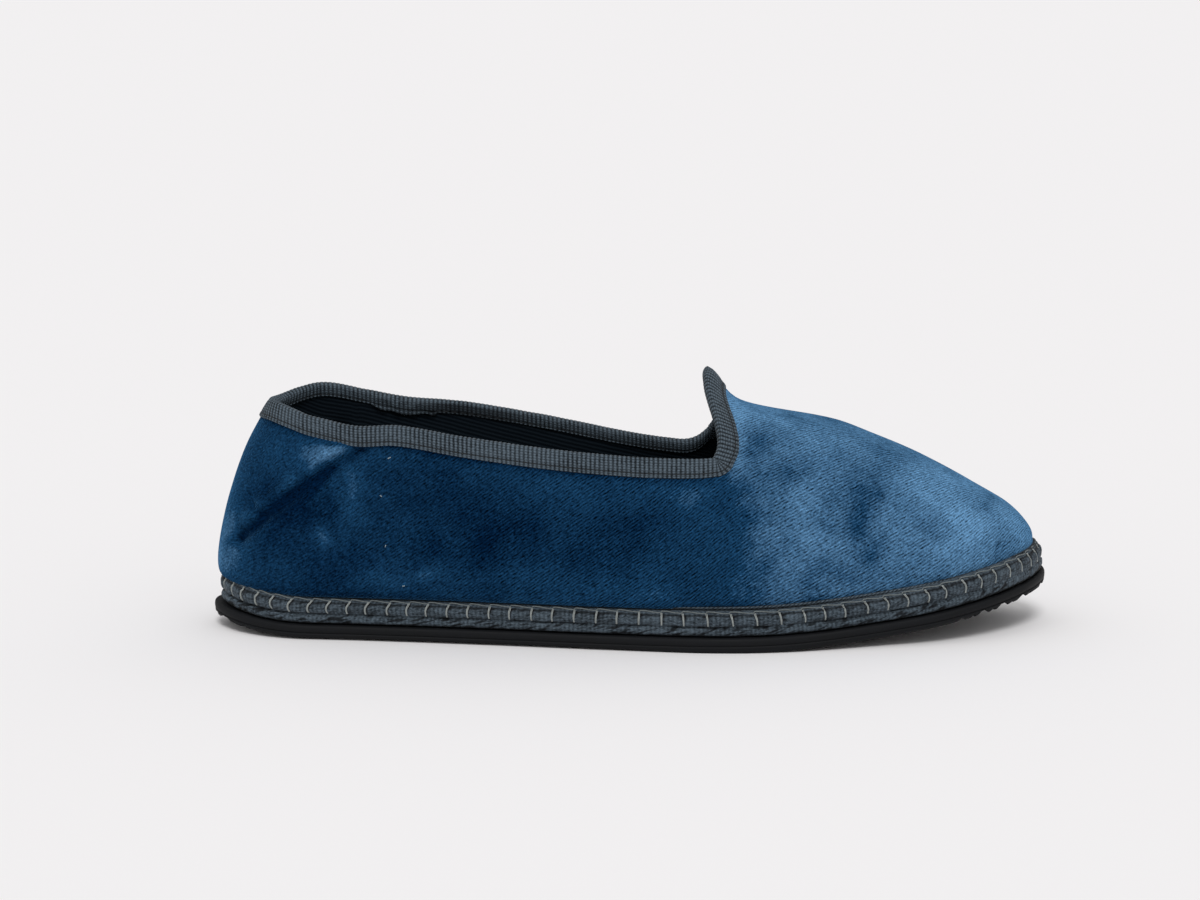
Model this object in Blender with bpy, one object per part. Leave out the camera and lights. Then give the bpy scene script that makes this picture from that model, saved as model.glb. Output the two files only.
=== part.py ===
"""A friulana, the cloth slipper of Friuli: right foot, velvet upper, tape-wrapped sole, rubber outsole.

All sizes are millimetres, turned into metres when a mesh is made. +X points to the toe, +Y to the
inner (medial) side of the foot and +Z up. The origin lies on the floor under the middle of the sole.
"""

import math
from collections import namedtuple

import bmesh
import bpy
from mathutils import Vector

MM = 0.001
GAP = 0.3  # clearance between pieces that touch on the real shoe

# Driving sizes of the sole
LENGTH = 266.0
OUTSOLE_THICK = 4.6
MIDSOLE_THICK = 8.0
INSOLE_THICK = 2.0
TREAD_DEPTH = 1.4
TREAD_RIBS = 26
TREAD_RIB_SHARE = 0.62  # share of the pitch that is rib, the rest is groove
TREAD_WALL = 0.5  # run of a rib's sloping wall along the shoe
TREAD_SWEEP = 7.0  # how far the middle of a rib lies ahead of its ends
TOE_SPRING = 12.0
TOE_SPRING_START = 0.61
TOE_SPRING_POWER = 1.85
HEEL_SPRING = 3.4
HEEL_SPRING_END = 0.13

# Driving sizes of the upper
WALL = 2.0
FEATHER_INSET = 4.0  # the upper's lower edge lies this far inside the outsole's edge
HEEL_PIVOT = 32.0  # the heel's sections turn about an upright line this far from the heel's end
BULGE_HEIGHT = 7.5  # height above the sole at which the soft wall swells most
BULGE_WIDTH = 12.0  # half width of the foot above which the swell is full
THROAT_STATION = 0.6
PEAK_BACK = 1.7  # the peak leans back from the throat's corners by this much
PEAK_LIFT = 6.4  # height of the pointed lip above the instep's line
PEAK_RUN = 6.0  # its run along the instep
PEAK_SPAN = 13.5  # its half width
PEAK_CREST = 8  # power that keeps the lip near the crown
TOE_DROP = 13.0  # the crown line rounds off over this length at the toe
TOE_DROP_POWER = 3.0
TOE_DROP_BLUNT = 0.985  # the rounding stops short, so that a low edge is left at the toe's end

# Driving sizes of the trim
TAPE = 0.7
TAPE_ROUND = 0.7  # share of the tape's thickness by which its fold is rounded
TAPE_SEAT = 0.36  # clearance between the collar binding and the faces that it grips
BINDING_LEG = 5.5  # width of the collar binding on each face of the upper
WELT_THICK = 0.8

# Plan of the outsole: how far the two edges lie from the long axis before the ends are rounded off,
# how far the edge is cut under at the floor, and how high the welt stands
SoleRow = namedtuple("SoleRow", "station axis lateral medial under welt")
SOLE = (
    SoleRow(0.00, 1.5, 23.0, 26.0, 3.3, 0.8),
    SoleRow(0.13, 1.5, 25.2, 28.3, 2.6, 0.8),
    SoleRow(0.23, 1.0, 28.6, 28.3, 3.2, 0.8),
    SoleRow(0.35, 0.0, 33.8, 27.6, 3.4, 0.8),
    SoleRow(0.47, 0.0, 39.6, 31.5, 2.6, 0.8),
    SoleRow(0.58, 0.0, 43.6, 38.8, 0.8, 0.8),
    SoleRow(0.68, 0.5, 42.6, 43.6, 0.6, 0.9),
    SoleRow(0.80, 2.5, 35.5, 41.0, 1.5, 1.0),
    SoleRow(0.89, 5.5, 30.5, 36.5, 2.2, 1.0),
    SoleRow(1.00, 10.0, 22.0, 31.0, 2.4, 1.0),
)
EndRow = namedtuple("EndRow", "reach power blunt")
HEEL_END = EndRow(32.0, 1.9, 0.996)
TOE_END = EndRow(52.0, 2.2, 0.996)

# Sections of the last: height of the crown over the floor (only drawn ahead of the throat), how the
# wall rises and closes in towards it, and how far it swells out over the sole on either side
LastRow = namedtuple("LastRow", "station crown rise close swell_lateral swell_medial")
LAST = (
    LastRow(0.00, 83.0, 2.35, 1.3, 2.6, 2.6),
    LastRow(0.10, 102.0, 2.1, 1.7, 4.2, 4.2),
    LastRow(0.20, 116.0, 2.0, 2.0, 4.4, 4.2),
    LastRow(0.35, 110.0, 2.0, 2.1, 4.4, 4.4),
    LastRow(0.50, 88.0, 2.1, 2.2, 3.8, 3.8),
    LastRow(0.58, 77.0, 2.2, 2.3, 2.8, 2.8),
    LastRow(0.62, 72.6, 2.2, 2.3, 2.2, 2.2),
    LastRow(0.66, 69.7, 2.2, 2.3, 1.7, 1.7),
    LastRow(0.75, 65.3, 2.2, 2.2, 1.2, 1.2),
    LastRow(0.80, 60.4, 2.2, 2.2, 1.0, 1.0),
    LastRow(0.85, 54.8, 2.2, 2.2, 0.9, 0.9),
    LastRow(0.90, 48.0, 2.2, 2.2, 0.8, 0.8),
    LastRow(0.95, 40.5, 2.2, 2.2, 0.8, 0.8),
    LastRow(1.00, 32.5, 2.2, 2.2, 0.8, 0.8),
)

# Height of the collar's edge over the floor, at the station of the sole below it
CollarRow = namedtuple("CollarRow", "station lateral medial")
COLLAR = (
    CollarRow(0.00, 71.4, 71.4),
    CollarRow(0.04, 72.0, 71.6),
    CollarRow(0.08, 70.6, 73.4),
    CollarRow(0.12, 68.1, 74.4),
    CollarRow(0.17, 65.6, 71.8),
    CollarRow(0.22, 66.0, 69.4),
    CollarRow(0.30, 63.0, 67.6),
    CollarRow(0.40, 60.0, 63.0),
    CollarRow(0.50, 58.0, 57.2),
    CollarRow(0.55, 57.5, 54.9),
    CollarRow(0.57, 57.4, 54.5),
    CollarRow(0.585, 57.4, 55.8),
    CollarRow(0.60, 57.6, 59.4),
)

# Line of the throat on either side: how far it lies ahead of its corner, where the station is the share
# of the way from the corner to the peak
ThroatRow = namedtuple("ThroatRow", "station ahead")
THROAT = (
    ThroatRow(0.00, 0.0),
    ThroatRow(0.12, 1.6),
    ThroatRow(0.24, 1.9),
    ThroatRow(0.36, 1.4),
    ThroatRow(0.50, 0.5),
    ThroatRow(0.65, -0.8),
    ThroatRow(0.80, -1.8),
    ThroatRow(1.00, -PEAK_BACK),
)

# Side of the sole, from the floor up: inset from the outsole's edge and height over the piece's base
EdgeRow = namedtuple("EdgeRow", "inset height")
OUTSOLE_EDGE = (
    EdgeRow(0.2, 1.8),
    EdgeRow(0.0, 3.8),
    EdgeRow(0.5, OUTSOLE_THICK),
)
TREAD_RIM = 2.6  # width of the plain rim round the tread
MIDSOLE_EDGE = (
    EdgeRow(3.0, 0.0),
    EdgeRow(1.3, 0.7),
    EdgeRow(0.9, 1.8),
    EdgeRow(1.8, 2.9),
    EdgeRow(1.1, 4.2),
    EdgeRow(0.9, 5.4),
    EdgeRow(1.3, 6.8),
    EdgeRow(2.4, MIDSOLE_THICK),
)
INSOLE_EDGE = (
    EdgeRow(FEATHER_INSET + WALL + 0.9, 0.0),
    EdgeRow(FEATHER_INSET + WALL + 0.5, 0.8),
    EdgeRow(FEATHER_INSET + WALL + 1.0, INSOLE_THICK),
)

# Numbers of sections and rows
SOLE_STATIONS = 34
OUTLINE_SAMPLES = 400  # places at which the outline's widest point is looked for
WALL_ROWS = 8
BINDING_ROWS = 2  # rows at the collar that the binding covers
ROW_CROWDING = 1.2  # power that crowds the wall's rows towards the sole
TOP_ROWS = 12
SIDE_COLUMNS = 16
HEEL_COLUMNS = 12
CORNER_STEPS = 3
TOE_SLICES = 12
THROAT_FADE = 4  # slices of the vamp over which the throat's bow straightens
HALVINGS = 30  # steps of the search for a point down the wall
PROBE = 0.002  # step of station or angle with which a normal is felt out
SAME_PLACE = 1e-9
MERGE = 5e-6  # points closer than this, in metres, become one
SHARP_EDGE = math.radians(40)

MIDSOLE_BASE = OUTSOLE_THICK + GAP
INSOLE_BASE = MIDSOLE_BASE + MIDSOLE_THICK + GAP
FEATHER_BASE = INSOLE_BASE

# Colours as linear values, with roughness
Finish = namedtuple("Finish", "colour roughness")
FINISHES = {
    "velvet": Finish((0.012, 0.050, 0.115), 0.85),
    "grosgrain": Finish((0.040, 0.055, 0.068), 0.75),
    "rubber": Finish((0.014, 0.015, 0.018), 0.60),
    "lining": Finish((0.006, 0.008, 0.012), 0.85),
}


def along(rows, column, station):
    """Value of a column at a station, on a smooth curve through the table's rows."""
    places = [row.station for row in rows]
    values = [getattr(row, column) for row in rows]
    station = min(max(station, places[0]), places[-1])
    last = len(rows) - 1
    index = max(i for i in range(last) if places[i] <= station)

    def slope(i):
        low, high = max(i - 1, 0), min(i + 1, last)
        return (values[high] - values[low]) / (places[high] - places[low])

    span = places[index + 1] - places[index]
    t = (station - places[index]) / span
    return (
        values[index] * (2 * t**3 - 3 * t**2 + 1)
        + values[index + 1] * (3 * t**2 - 2 * t**3)
        + slope(index) * span * (t**3 - 2 * t**2 + t)
        + slope(index + 1) * span * (t**3 - t**2)
    )


def rounded(depth, reach, power):
    """Share of the full width left at a depth into a rounded end, on a superellipse."""
    into = min(max(depth / reach, 0.0), 1.0)
    return (1.0 - into**power) ** (1.0 / power)


def axis_shift():
    """Sideways shift that puts the outsole's two widest points at equal distances from the axis."""
    steps = [i / OUTLINE_SAMPLES for i in range(OUTLINE_SAMPLES + 1)]
    lateral = max(along(SOLE, "lateral", s) for s in steps)
    medial = max(along(SOLE, "medial", s) for s in steps)
    return (lateral - medial) / 2


AXIS_SHIFT = axis_shift()


def axis_y(station):
    return along(SOLE, "axis", station) + AXIS_SHIFT


def sole_edge(station, side, inset):
    """Point (x, y) of the sole's outline at a station, side -1 lateral or +1 medial, moved in by inset."""
    x = (station - 0.5) * (LENGTH - 2 * inset)
    from_heel = HEEL_END.reach - station * LENGTH
    from_toe = TOE_END.reach - (1 - station) * LENGTH
    cap = rounded(from_heel * HEEL_END.blunt, HEEL_END.reach, HEEL_END.power)
    cap *= rounded(from_toe * TOE_END.blunt, TOE_END.reach, TOE_END.power)
    axis = axis_y(station)
    edge = along(SOLE, "lateral" if side < 0 else "medial", station)
    return x, axis + side * (edge + side * (AXIS_SHIFT - axis) - inset) * cap


def station_of(x, inset):
    return x / (LENGTH - 2 * inset) + 0.5


def spring(x):
    """How far the sole's underside lifts off the floor at x."""
    station = station_of(x, 0.0)
    toe = max(station - TOE_SPRING_START, 0.0) / (1 - TOE_SPRING_START)
    heel = max(HEEL_SPRING_END - station, 0.0) / HEEL_SPRING_END
    return TOE_SPRING * toe**TOE_SPRING_POWER + HEEL_SPRING * heel**2


def end_spaced(count):
    """Stations from 0 to 1 that crowd towards both ends, where the outline turns."""
    return [0.5 - 0.5 * math.cos(math.pi * i / count) for i in range(count + 1)]


def new_object(name, bm, finish):
    """Mesh object in metres from a bmesh in millimetres, with its finish."""
    bmesh.ops.scale(bm, vec=(MM, MM, MM), verts=bm.verts)
    bmesh.ops.remove_doubles(bm, verts=bm.verts, dist=MERGE)
    bmesh.ops.recalc_face_normals(bm, faces=bm.faces)
    mesh = bpy.data.meshes.new(name)
    bm.to_mesh(mesh)
    bm.free()
    mesh.shade_smooth()
    mesh.set_sharp_from_angle(angle=SHARP_EDGE)
    mesh.materials.append(bpy.data.materials[finish])
    obj = bpy.data.objects.new(name, mesh)
    bpy.data.collections["friulana"].objects.link(obj)
    return obj


def loft(bm, loops, closed_ends):
    """Quads between closed loops of points; the first and last loops may be joined to each other."""
    rings = [[bm.verts.new(point) for point in loop] for loop in loops]
    pairs = list(zip(rings, rings[1:]))
    if not closed_ends:
        pairs.append((rings[-1], rings[0]))
    for ring, following in pairs:
        for i in range(len(ring)):
            j = (i + 1) % len(ring)
            bm.faces.new((ring[i], ring[j], following[j], following[i]))
    return rings


def slab_loop(row, base):
    """Closed loop round the sole at one row of its edge: out on the lateral side, back on the medial."""
    stations = end_spaced(SOLE_STATIONS)
    places = [sole_edge(s, -1, row.inset) for s in stations]
    places += [sole_edge(s, 1, row.inset) for s in reversed(stations)]
    return [(x, y, base + row.height + spring(x)) for x, y in places]


def cap_strips(bm, ring):
    """Closes a loop with strips from its lateral to its medial side; an odd loop ends in a triangle."""
    last = len(ring) - 1
    for i in range(last // 2):
        corners = (ring[i], ring[i + 1], ring[last - i - 1], ring[last - i])
        bm.faces.new(list(dict.fromkeys(corners)))


def make_slab(name, edge, base, finish):
    """A layer of the sole whose side follows the rows of its edge table."""
    bm = bmesh.new()
    rings = loft(bm, [slab_loop(row, base) for row in edge], closed_ends=True)
    cap_strips(bm, rings[0])
    cap_strips(bm, rings[-1])
    return new_object(name, bm, finish)


def outsole_section(station, tread_height):
    """Closed section of the outsole across the shoe; the tread's middle is swept forward."""
    under = along(SOLE, "under", station)
    bottom = (
        EdgeRow(under + TREAD_RIM + TREAD_WALL, tread_height),
        EdgeRow(under + TREAD_RIM, 0.0),
        EdgeRow(under, 0.0),
    )
    lateral, medial = [
        [(*sole_edge(station, side, row.inset), row.height) for row in bottom + OUTSOLE_EDGE]
        for side in (-1, 1)
    ]
    width = (medial[0][1] - lateral[0][1]) / (2 * max(row.lateral for row in SOLE))
    middle = (lateral[0][0] + TREAD_SWEEP * width, (lateral[0][1] + medial[0][1]) / 2, tread_height)
    loop = [middle] + medial + lateral[::-1]
    return [(x, y, z + spring(x)) for x, y, z in loop]


def make_outsole():
    """Rubber outsole with swept ribs moulded across its underside."""
    pitch = 1.0 / TREAD_RIBS
    wall = TREAD_WALL / LENGTH
    sections = [outsole_section(0.0, TREAD_DEPTH)]
    for rib in range(TREAD_RIBS):
        start = (rib + (1 - TREAD_RIB_SHARE) / 2) * pitch
        stop = start + TREAD_RIB_SHARE * pitch
        for station, height in (
            (start, TREAD_DEPTH),
            (start + wall, 0.0),
            (stop - wall, 0.0),
            (stop, TREAD_DEPTH),
        ):
            sections.append(outsole_section(station, height))
    sections.append(outsole_section(1.0, TREAD_DEPTH))
    bm = bmesh.new()
    rings = loft(bm, sections, closed_ends=True)
    for middle, *ring in (rings[0], rings[-1]):
        cap_strips(bm, ring)
        bm.faces.new((middle, ring[0], ring[-1]))
    return new_object("outsole", bm, "rubber")


def last_values(station, side):
    """Crown height, rise, close and swell of the last's section at a station."""
    swell = "swell_lateral" if side < 0 else "swell_medial"
    return [along(LAST, column, station) for column in ("crown", "rise", "close", swell)]


def crown_height(x, crown):
    """The crown line, rounded down to the feather edge at the toe."""
    floor = FEATHER_BASE + spring(x)
    toe = LENGTH / 2 - FEATHER_INSET
    drop = rounded((x - toe + TOE_DROP) * TOE_DROP_BLUNT, TOE_DROP, TOE_DROP_POWER)
    return floor + (crown - floor) * drop


def wall_point(station, side, angle):
    """Point of the upper's outer face: angle 0 is the feather edge, a right angle the crown."""
    x, y = sole_edge(station, side, FEATHER_INSET)
    crown, rise, close, swell = last_values(station, side)
    floor = FEATHER_BASE + spring(x)
    height = (crown_height(x, crown) - floor) * math.sin(angle) ** (2 / rise)
    origin = Vector((max(x, HEEL_PIVOT - LENGTH / 2), axis_y(station)))
    outward = Vector((x, y)) - origin
    width = outward.length
    lean = height / BULGE_HEIGHT
    bulge = swell * min(width / BULGE_WIDTH, 1) * lean * math.exp(1 - lean)
    reach = width * math.cos(angle) ** (2 / close) + bulge
    place = origin + outward.normalized() * reach
    lift = PEAK_LIFT * math.exp(-(((x - peak_x()) / PEAK_RUN) ** 2) - (place.y / PEAK_SPAN) ** 2)
    lift *= math.sin(angle) ** PEAK_CREST
    return Vector((place.x, place.y, floor + height + lift))


def peak_x():
    return sole_edge(THROAT_STATION, 1, FEATHER_INSET)[0] - PEAK_BACK


def wall_normal(station, side, angle):
    """Outward normal of the upper's outer face; on the crown it is the mean of the two sides."""
    if angle > math.pi / 2 - PROBE:
        near = [wall_normal(station, hand, math.pi / 2 - 2 * PROBE) for hand in (-1, 1)]
        return (near[0] + near[1]).normalized()
    place = min(max(station, PROBE), 1 - PROBE)
    bend = max(angle, 2 * PROBE)
    forward = wall_point(place + PROBE, side, bend) - wall_point(place - PROBE, side, bend)
    upward = wall_point(place, side, bend + PROBE) - wall_point(place, side, bend - PROBE)
    return forward.cross(upward).normalized() * -side


def angle_at(height, station, side):
    """Angle on the section at which the wall stands this high over the feather edge."""
    crown, rise, _, _ = last_values(station, side)
    x, _ = sole_edge(station, side, FEATHER_INSET)
    full = crown_height(x, crown) - FEATHER_BASE - spring(x)
    return math.asin(min(height / full, 1.0) ** (rise / 2))


def angle_below(station, side, top, distance):
    """Angle of the point that lies this far down the wall from the angle of its top."""
    edge = wall_point(station, side, top)
    low, high = 0.0, top
    for _ in range(HALVINGS):
        angle = (low + high) / 2
        if (wall_point(station, side, angle) - edge).length > distance:
            low = angle
        else:
            high = angle
    return high


def wall_angles(station, side):
    """Angles of the wall's rows from the feather edge to the collar; the top rows carry the binding."""
    x, _ = sole_edge(station, side, FEATHER_INSET)
    collar = along(COLLAR, "lateral" if side < 0 else "medial", station)
    top = angle_at(collar - FEATHER_BASE - spring(x), station, side)
    half = angle_below(station, side, top, BINDING_LEG / 2)
    foot = angle_below(station, side, top, BINDING_LEG)
    lower = WALL_ROWS - BINDING_ROWS
    return [foot * (row / lower) ** ROW_CROWDING for row in range(lower + 1)] + [half, top]


def side_columns(side):
    """Columns of the wall on one side, from the throat back to the middle of the heel."""
    pivot = HEEL_PIVOT / LENGTH
    quarter = [THROAT_STATION + (pivot - THROAT_STATION) * i / SIDE_COLUMNS for i in range(SIDE_COLUMNS)]
    heel = [pivot * (1 - math.sin(math.pi / 2 * i / HEEL_COLUMNS)) for i in range(HEEL_COLUMNS + 1)]
    return [[(station, side, angle) for angle in wall_angles(station, side)] for station in quarter + heel]


def throat_offset(share):
    """How far the throat's edge lies ahead of its corner, at a share of the way from corner to peak."""
    return along(THROAT, "ahead", share)


def vamp_slices():
    """Slices of the vamp from throat to toe, each from the lateral feather edge over to the medial one."""
    start = sole_edge(THROAT_STATION, 1, FEATHER_INSET)[0]
    leg = BINDING_LEG / BINDING_ROWS
    first = [start + leg * row for row in range(BINDING_ROWS + 1)]
    toe = LENGTH / 2 - FEATHER_INSET
    run = toe - first[-1]
    turns = [math.pi / 2 * i / TOE_SLICES for i in range(1, TOE_SLICES + 1)]
    places = first + [first[-1] + run * math.sin(turn) for turn in turns]
    lower = {side: wall_angles(THROAT_STATION, side) for side in (-1, 1)}
    slices = []
    for number, place in enumerate(places):
        keep = max(1 - max(number - BINDING_ROWS, 0) / THROAT_FADE, 0)
        halves = {}
        for side in (-1, 1):
            corner = lower[side][-1]
            half = [(station_of(place, FEATHER_INSET), side, angle) for angle in lower[side]]
            for row in range(1, TOP_ROWS + 1):
                share = row / TOP_ROWS
                angle = corner + (math.pi / 2 - corner) * share
                station = station_of(place + keep * throat_offset(share), FEATHER_INSET)
                half.append((station, side, angle))
            halves[side] = half
        slices.append(halves[-1] + halves[1][-2::-1])
    return slices


def upper_faces(bm, columns):
    """Outer face and inner face of the upper between columns of places on the last."""
    outer = [[bm.verts.new(wall_point(*place)) for place in column] for column in columns]
    inner = []
    for column in columns:
        inner.append([bm.verts.new(wall_point(*place) - wall_normal(*place) * WALL) for place in column])
    for grid in (outer, inner):
        for column, following in zip(grid, grid[1:]):
            for i in range(len(column) - 1):
                bm.faces.new((column[i], column[i + 1], following[i + 1], following[i]))
    return outer, inner


def rim_faces(bm, outer, inner):
    """Closes the wall along a line of neighbouring points."""
    for i in range(len(outer) - 1):
        bm.faces.new((outer[i], outer[i + 1], inner[i + 1], inner[i]))


def shell(bm, columns):
    """A stretch of the upper's wall, closed along the first and last points of its columns."""
    outer, inner = upper_faces(bm, columns)
    for row in (0, -1):
        rim_faces(bm, [column[row] for column in outer], [column[row] for column in inner])
    return outer, inner


def make_upper():
    """Velvet upper: one shell with its wall towards the foot, open at the collar and underneath."""
    bm = bmesh.new()
    shell(bm, side_columns(-1) + side_columns(1)[::-1])
    outer, inner = shell(bm, vamp_slices())
    throat = slice(WALL_ROWS, -WALL_ROWS)
    rim_faces(bm, outer[0][throat], inner[0][throat])
    for toe in (outer[-1], inner[-1]):
        cap_strips(bm, toe)
    rim_faces(bm, outer[-1][:: len(outer[-1]) - 1], inner[-1][:: len(inner[-1]) - 1])
    return new_object("upper", bm, "velvet")


def corner_fan(side):
    """Lines down the wall from the throat's corner, turning from straight down to straight ahead."""
    start = sole_edge(THROAT_STATION, side, FEATHER_INSET)[0]
    top = wall_angles(THROAT_STATION, side)[-1]
    fan = []
    for turn in range(CORNER_STEPS + 1):
        angle = math.pi / 2 * turn / CORNER_STEPS
        line = []
        for distance in (0.0, BINDING_LEG / 2, BINDING_LEG):
            station = station_of(start + distance * math.sin(angle), FEATHER_INSET)
            line.append((station, side, angle_below(station, side, top, distance * math.cos(angle))))
        fan.append(line)
    return fan


def collar_path():
    """Lines down the wall all round the opening: the edge, half way down and the foot of the binding."""
    slices = vamp_slices()
    path = [column[:-4:-1] for column in reversed(side_columns(-1)[1:])]
    path += corner_fan(-1)
    for row in range(WALL_ROWS + 1, len(slices[0]) - WALL_ROWS - 1):
        path.append([slices[number][row] for number in range(BINDING_ROWS + 1)])
    path += corner_fan(1)[::-1]
    path += [column[:-4:-1] for column in side_columns(1)[1:]]
    return path


def off_edge(line):
    """Direction off the edge at the top of a line; at the throat's corners it is the mitre."""
    station, side, angle = line[0]
    points = [wall_point(*place) for place in line]
    corner = wall_angles(THROAT_STATION, side)[-1]
    if abs(station - THROAT_STATION) < SAME_PLACE and abs(angle - corner) < SAME_PLACE:
        fan = corner_fan(side)
        ends = [[wall_point(*place) for place in fan[end]] for end in (0, -1)]
        return sum(((points[0] - end[1]).normalized() for end in ends), Vector())
    return (points[0] - points[1]).normalized()


def binding_section(line):
    """Closed section of the tape folded over the edge: up the outside, over the edge, down the inside."""
    edge, half, foot = [wall_point(*place) for place in line]
    edge_out, half_out, foot_out = [wall_normal(*place) for place in line]
    over = off_edge(line)
    outer, outer_seat = TAPE_SEAT + TAPE, TAPE_SEAT
    inner, inner_seat = -WALL - outer, -WALL - outer_seat
    fold = TAPE * TAPE_ROUND
    return [
        foot + foot_out * outer,
        half + half_out * outer,
        edge + edge_out * outer,
        edge + edge_out * (outer - fold) + over * outer,
        edge + edge_out * (inner + fold) + over * outer,
        edge + edge_out * inner,
        half + half_out * inner,
        foot + foot_out * inner,
        foot + foot_out * inner_seat,
        half + half_out * inner_seat,
        edge + edge_out * inner_seat + over * TAPE_SEAT,
        edge + edge_out * outer_seat + over * TAPE_SEAT,
        half + half_out * outer_seat,
        foot + foot_out * outer_seat,
    ]


def make_binding():
    """Grosgrain tape folded over the collar's edge, in one ring round the opening."""
    bm = bmesh.new()
    loft(bm, [binding_section(line) for line in collar_path()], closed_ends=False)
    return new_object("collar_binding", bm, "grosgrain")


def welt_section(station, side):
    """Section of the strip that stands on the sole's edge against the upper."""
    foot = wall_point(station, side, 0.0)
    top = wall_point(station, side, angle_at(along(SOLE, "welt", station), station, side))
    x, y = sole_edge(station, side, FEATHER_INSET)
    wide_x, wide_y = sole_edge(station, side, FEATHER_INSET - 1)
    out = Vector((wide_x - x, wide_y - y, 0)).normalized()
    seat = out * GAP
    face = out * (GAP + WELT_THICK)
    return [foot + seat, top + seat, top + face, foot + face]


def make_welt():
    """Tape strip that closes the seam between the upper and the sole, all round."""
    stations = end_spaced(SOLE_STATIONS)
    sections = [welt_section(s, -1) for s in stations]
    sections += [welt_section(s, 1) for s in reversed(stations)]
    bm = bmesh.new()
    loft(bm, sections, closed_ends=False)
    return new_object("welt", bm, "grosgrain")


def make_materials():
    for name, finish in FINISHES.items():
        material = bpy.data.materials.new(name)
        material.use_nodes = True
        shader = material.node_tree.nodes["Principled BSDF"]
        shader.inputs["Base Color"].default_value = (*finish.colour, 1.0)
        shader.inputs["Roughness"].default_value = finish.roughness
        shader.inputs["Metallic"].default_value = 0.0


def main():
    for obj in list(bpy.data.objects):
        bpy.data.objects.remove(obj)
    collection = bpy.data.collections.new("friulana")
    bpy.context.scene.collection.children.link(collection)
    make_materials()
    make_outsole()
    make_slab("midsole", MIDSOLE_EDGE, MIDSOLE_BASE, "grosgrain")
    make_slab("insole", INSOLE_EDGE, INSOLE_BASE, "lining")
    make_welt()
    make_upper()
    make_binding()


if __name__ == "__main__":
    main()
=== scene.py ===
"""Looks of a friulana: a velvet slipper with a taped collar and a blanket-stitched sole band.

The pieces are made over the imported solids, from the same last. Tables and lengths are millimetres, and
become metres when a mesh is made. +X points to the toe, +Y to the inner (medial) side, +Z up.
"""

import math
from collections import namedtuple

import bmesh
import bpy
import numpy as np
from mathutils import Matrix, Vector, noise


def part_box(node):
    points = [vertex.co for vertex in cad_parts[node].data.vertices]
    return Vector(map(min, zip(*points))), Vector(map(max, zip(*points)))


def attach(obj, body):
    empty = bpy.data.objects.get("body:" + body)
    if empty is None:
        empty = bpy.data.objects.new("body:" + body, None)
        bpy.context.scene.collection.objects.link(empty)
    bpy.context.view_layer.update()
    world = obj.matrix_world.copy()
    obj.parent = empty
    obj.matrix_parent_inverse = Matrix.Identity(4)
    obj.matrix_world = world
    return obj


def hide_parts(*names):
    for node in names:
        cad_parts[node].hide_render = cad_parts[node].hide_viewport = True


bl_info = {
    "name": "Friulana",
    "version": (1, 0, 0),
    "blender": (4, 5, 0),
    "location": "3D View > Sidebar > Friulana",
    "description": "Builds a velvet friulana slipper over its packed solids",
    "category": "Add Mesh",
}

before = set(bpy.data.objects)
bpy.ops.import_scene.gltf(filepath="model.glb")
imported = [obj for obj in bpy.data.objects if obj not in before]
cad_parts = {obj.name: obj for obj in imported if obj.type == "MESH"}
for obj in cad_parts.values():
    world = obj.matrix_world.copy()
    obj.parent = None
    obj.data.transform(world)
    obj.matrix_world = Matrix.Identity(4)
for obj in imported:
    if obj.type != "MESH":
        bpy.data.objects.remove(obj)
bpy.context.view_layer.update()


def table(columns, *rows):
    """Rows of values under named columns."""
    kind = namedtuple("Row", columns)
    return tuple(kind(*values) for values in rows)


def named(columns, *values):
    """One row of values under named columns."""
    return table(columns, values)[0]


MM = 0.001
LENGTH = (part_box("outsole")[1].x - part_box("outsole")[0].x) / MM
IMAGE_WIDTH = 1200

# The last and the sole, as in the part's source
GAP = 0.3
OUTSOLE_THICK = 4.6
MIDSOLE_THICK = 8.0
INSOLE_THICK = 2.0
TREAD_DEPTH = 1.4
TREAD_RIBS = 26
TREAD_RIB_SHARE = 0.62
TREAD_RIM = 2.6
TREAD_SWEEP = 7.0
TREAD_SOFT = 0.25
TREAD_RIM_SOFT = 0.5
TREAD_ENDS = 3.0
TOE_SPRING = 12.0
TOE_SPRING_START = 0.61
TOE_SPRING_POWER = 1.85
HEEL_SPRING = 3.4
HEEL_SPRING_END = 0.13
WALL = 2.0
FEATHER_INSET = 4.0
HEEL_PIVOT = 32.0
BULGE_HEIGHT = 7.5
BULGE_WIDTH = 12.0
THROAT_STATION = 0.6
PEAK_BACK = 1.7
PEAK_LIFT = 6.4
PEAK_RUN = 6.0
PEAK_SPAN = 13.5
PEAK_CREST = 8
TOE_DROP = 13.0
TOE_DROP_POWER = 3.0
TOE_DROP_BLUNT = 0.985
BINDING_LEG = 5.5
INSOLE_INSET = FEATHER_INSET + WALL
MIDSOLE_BASE = OUTSOLE_THICK + GAP
FEATHER_BASE = MIDSOLE_BASE + MIDSOLE_THICK + GAP

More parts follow.
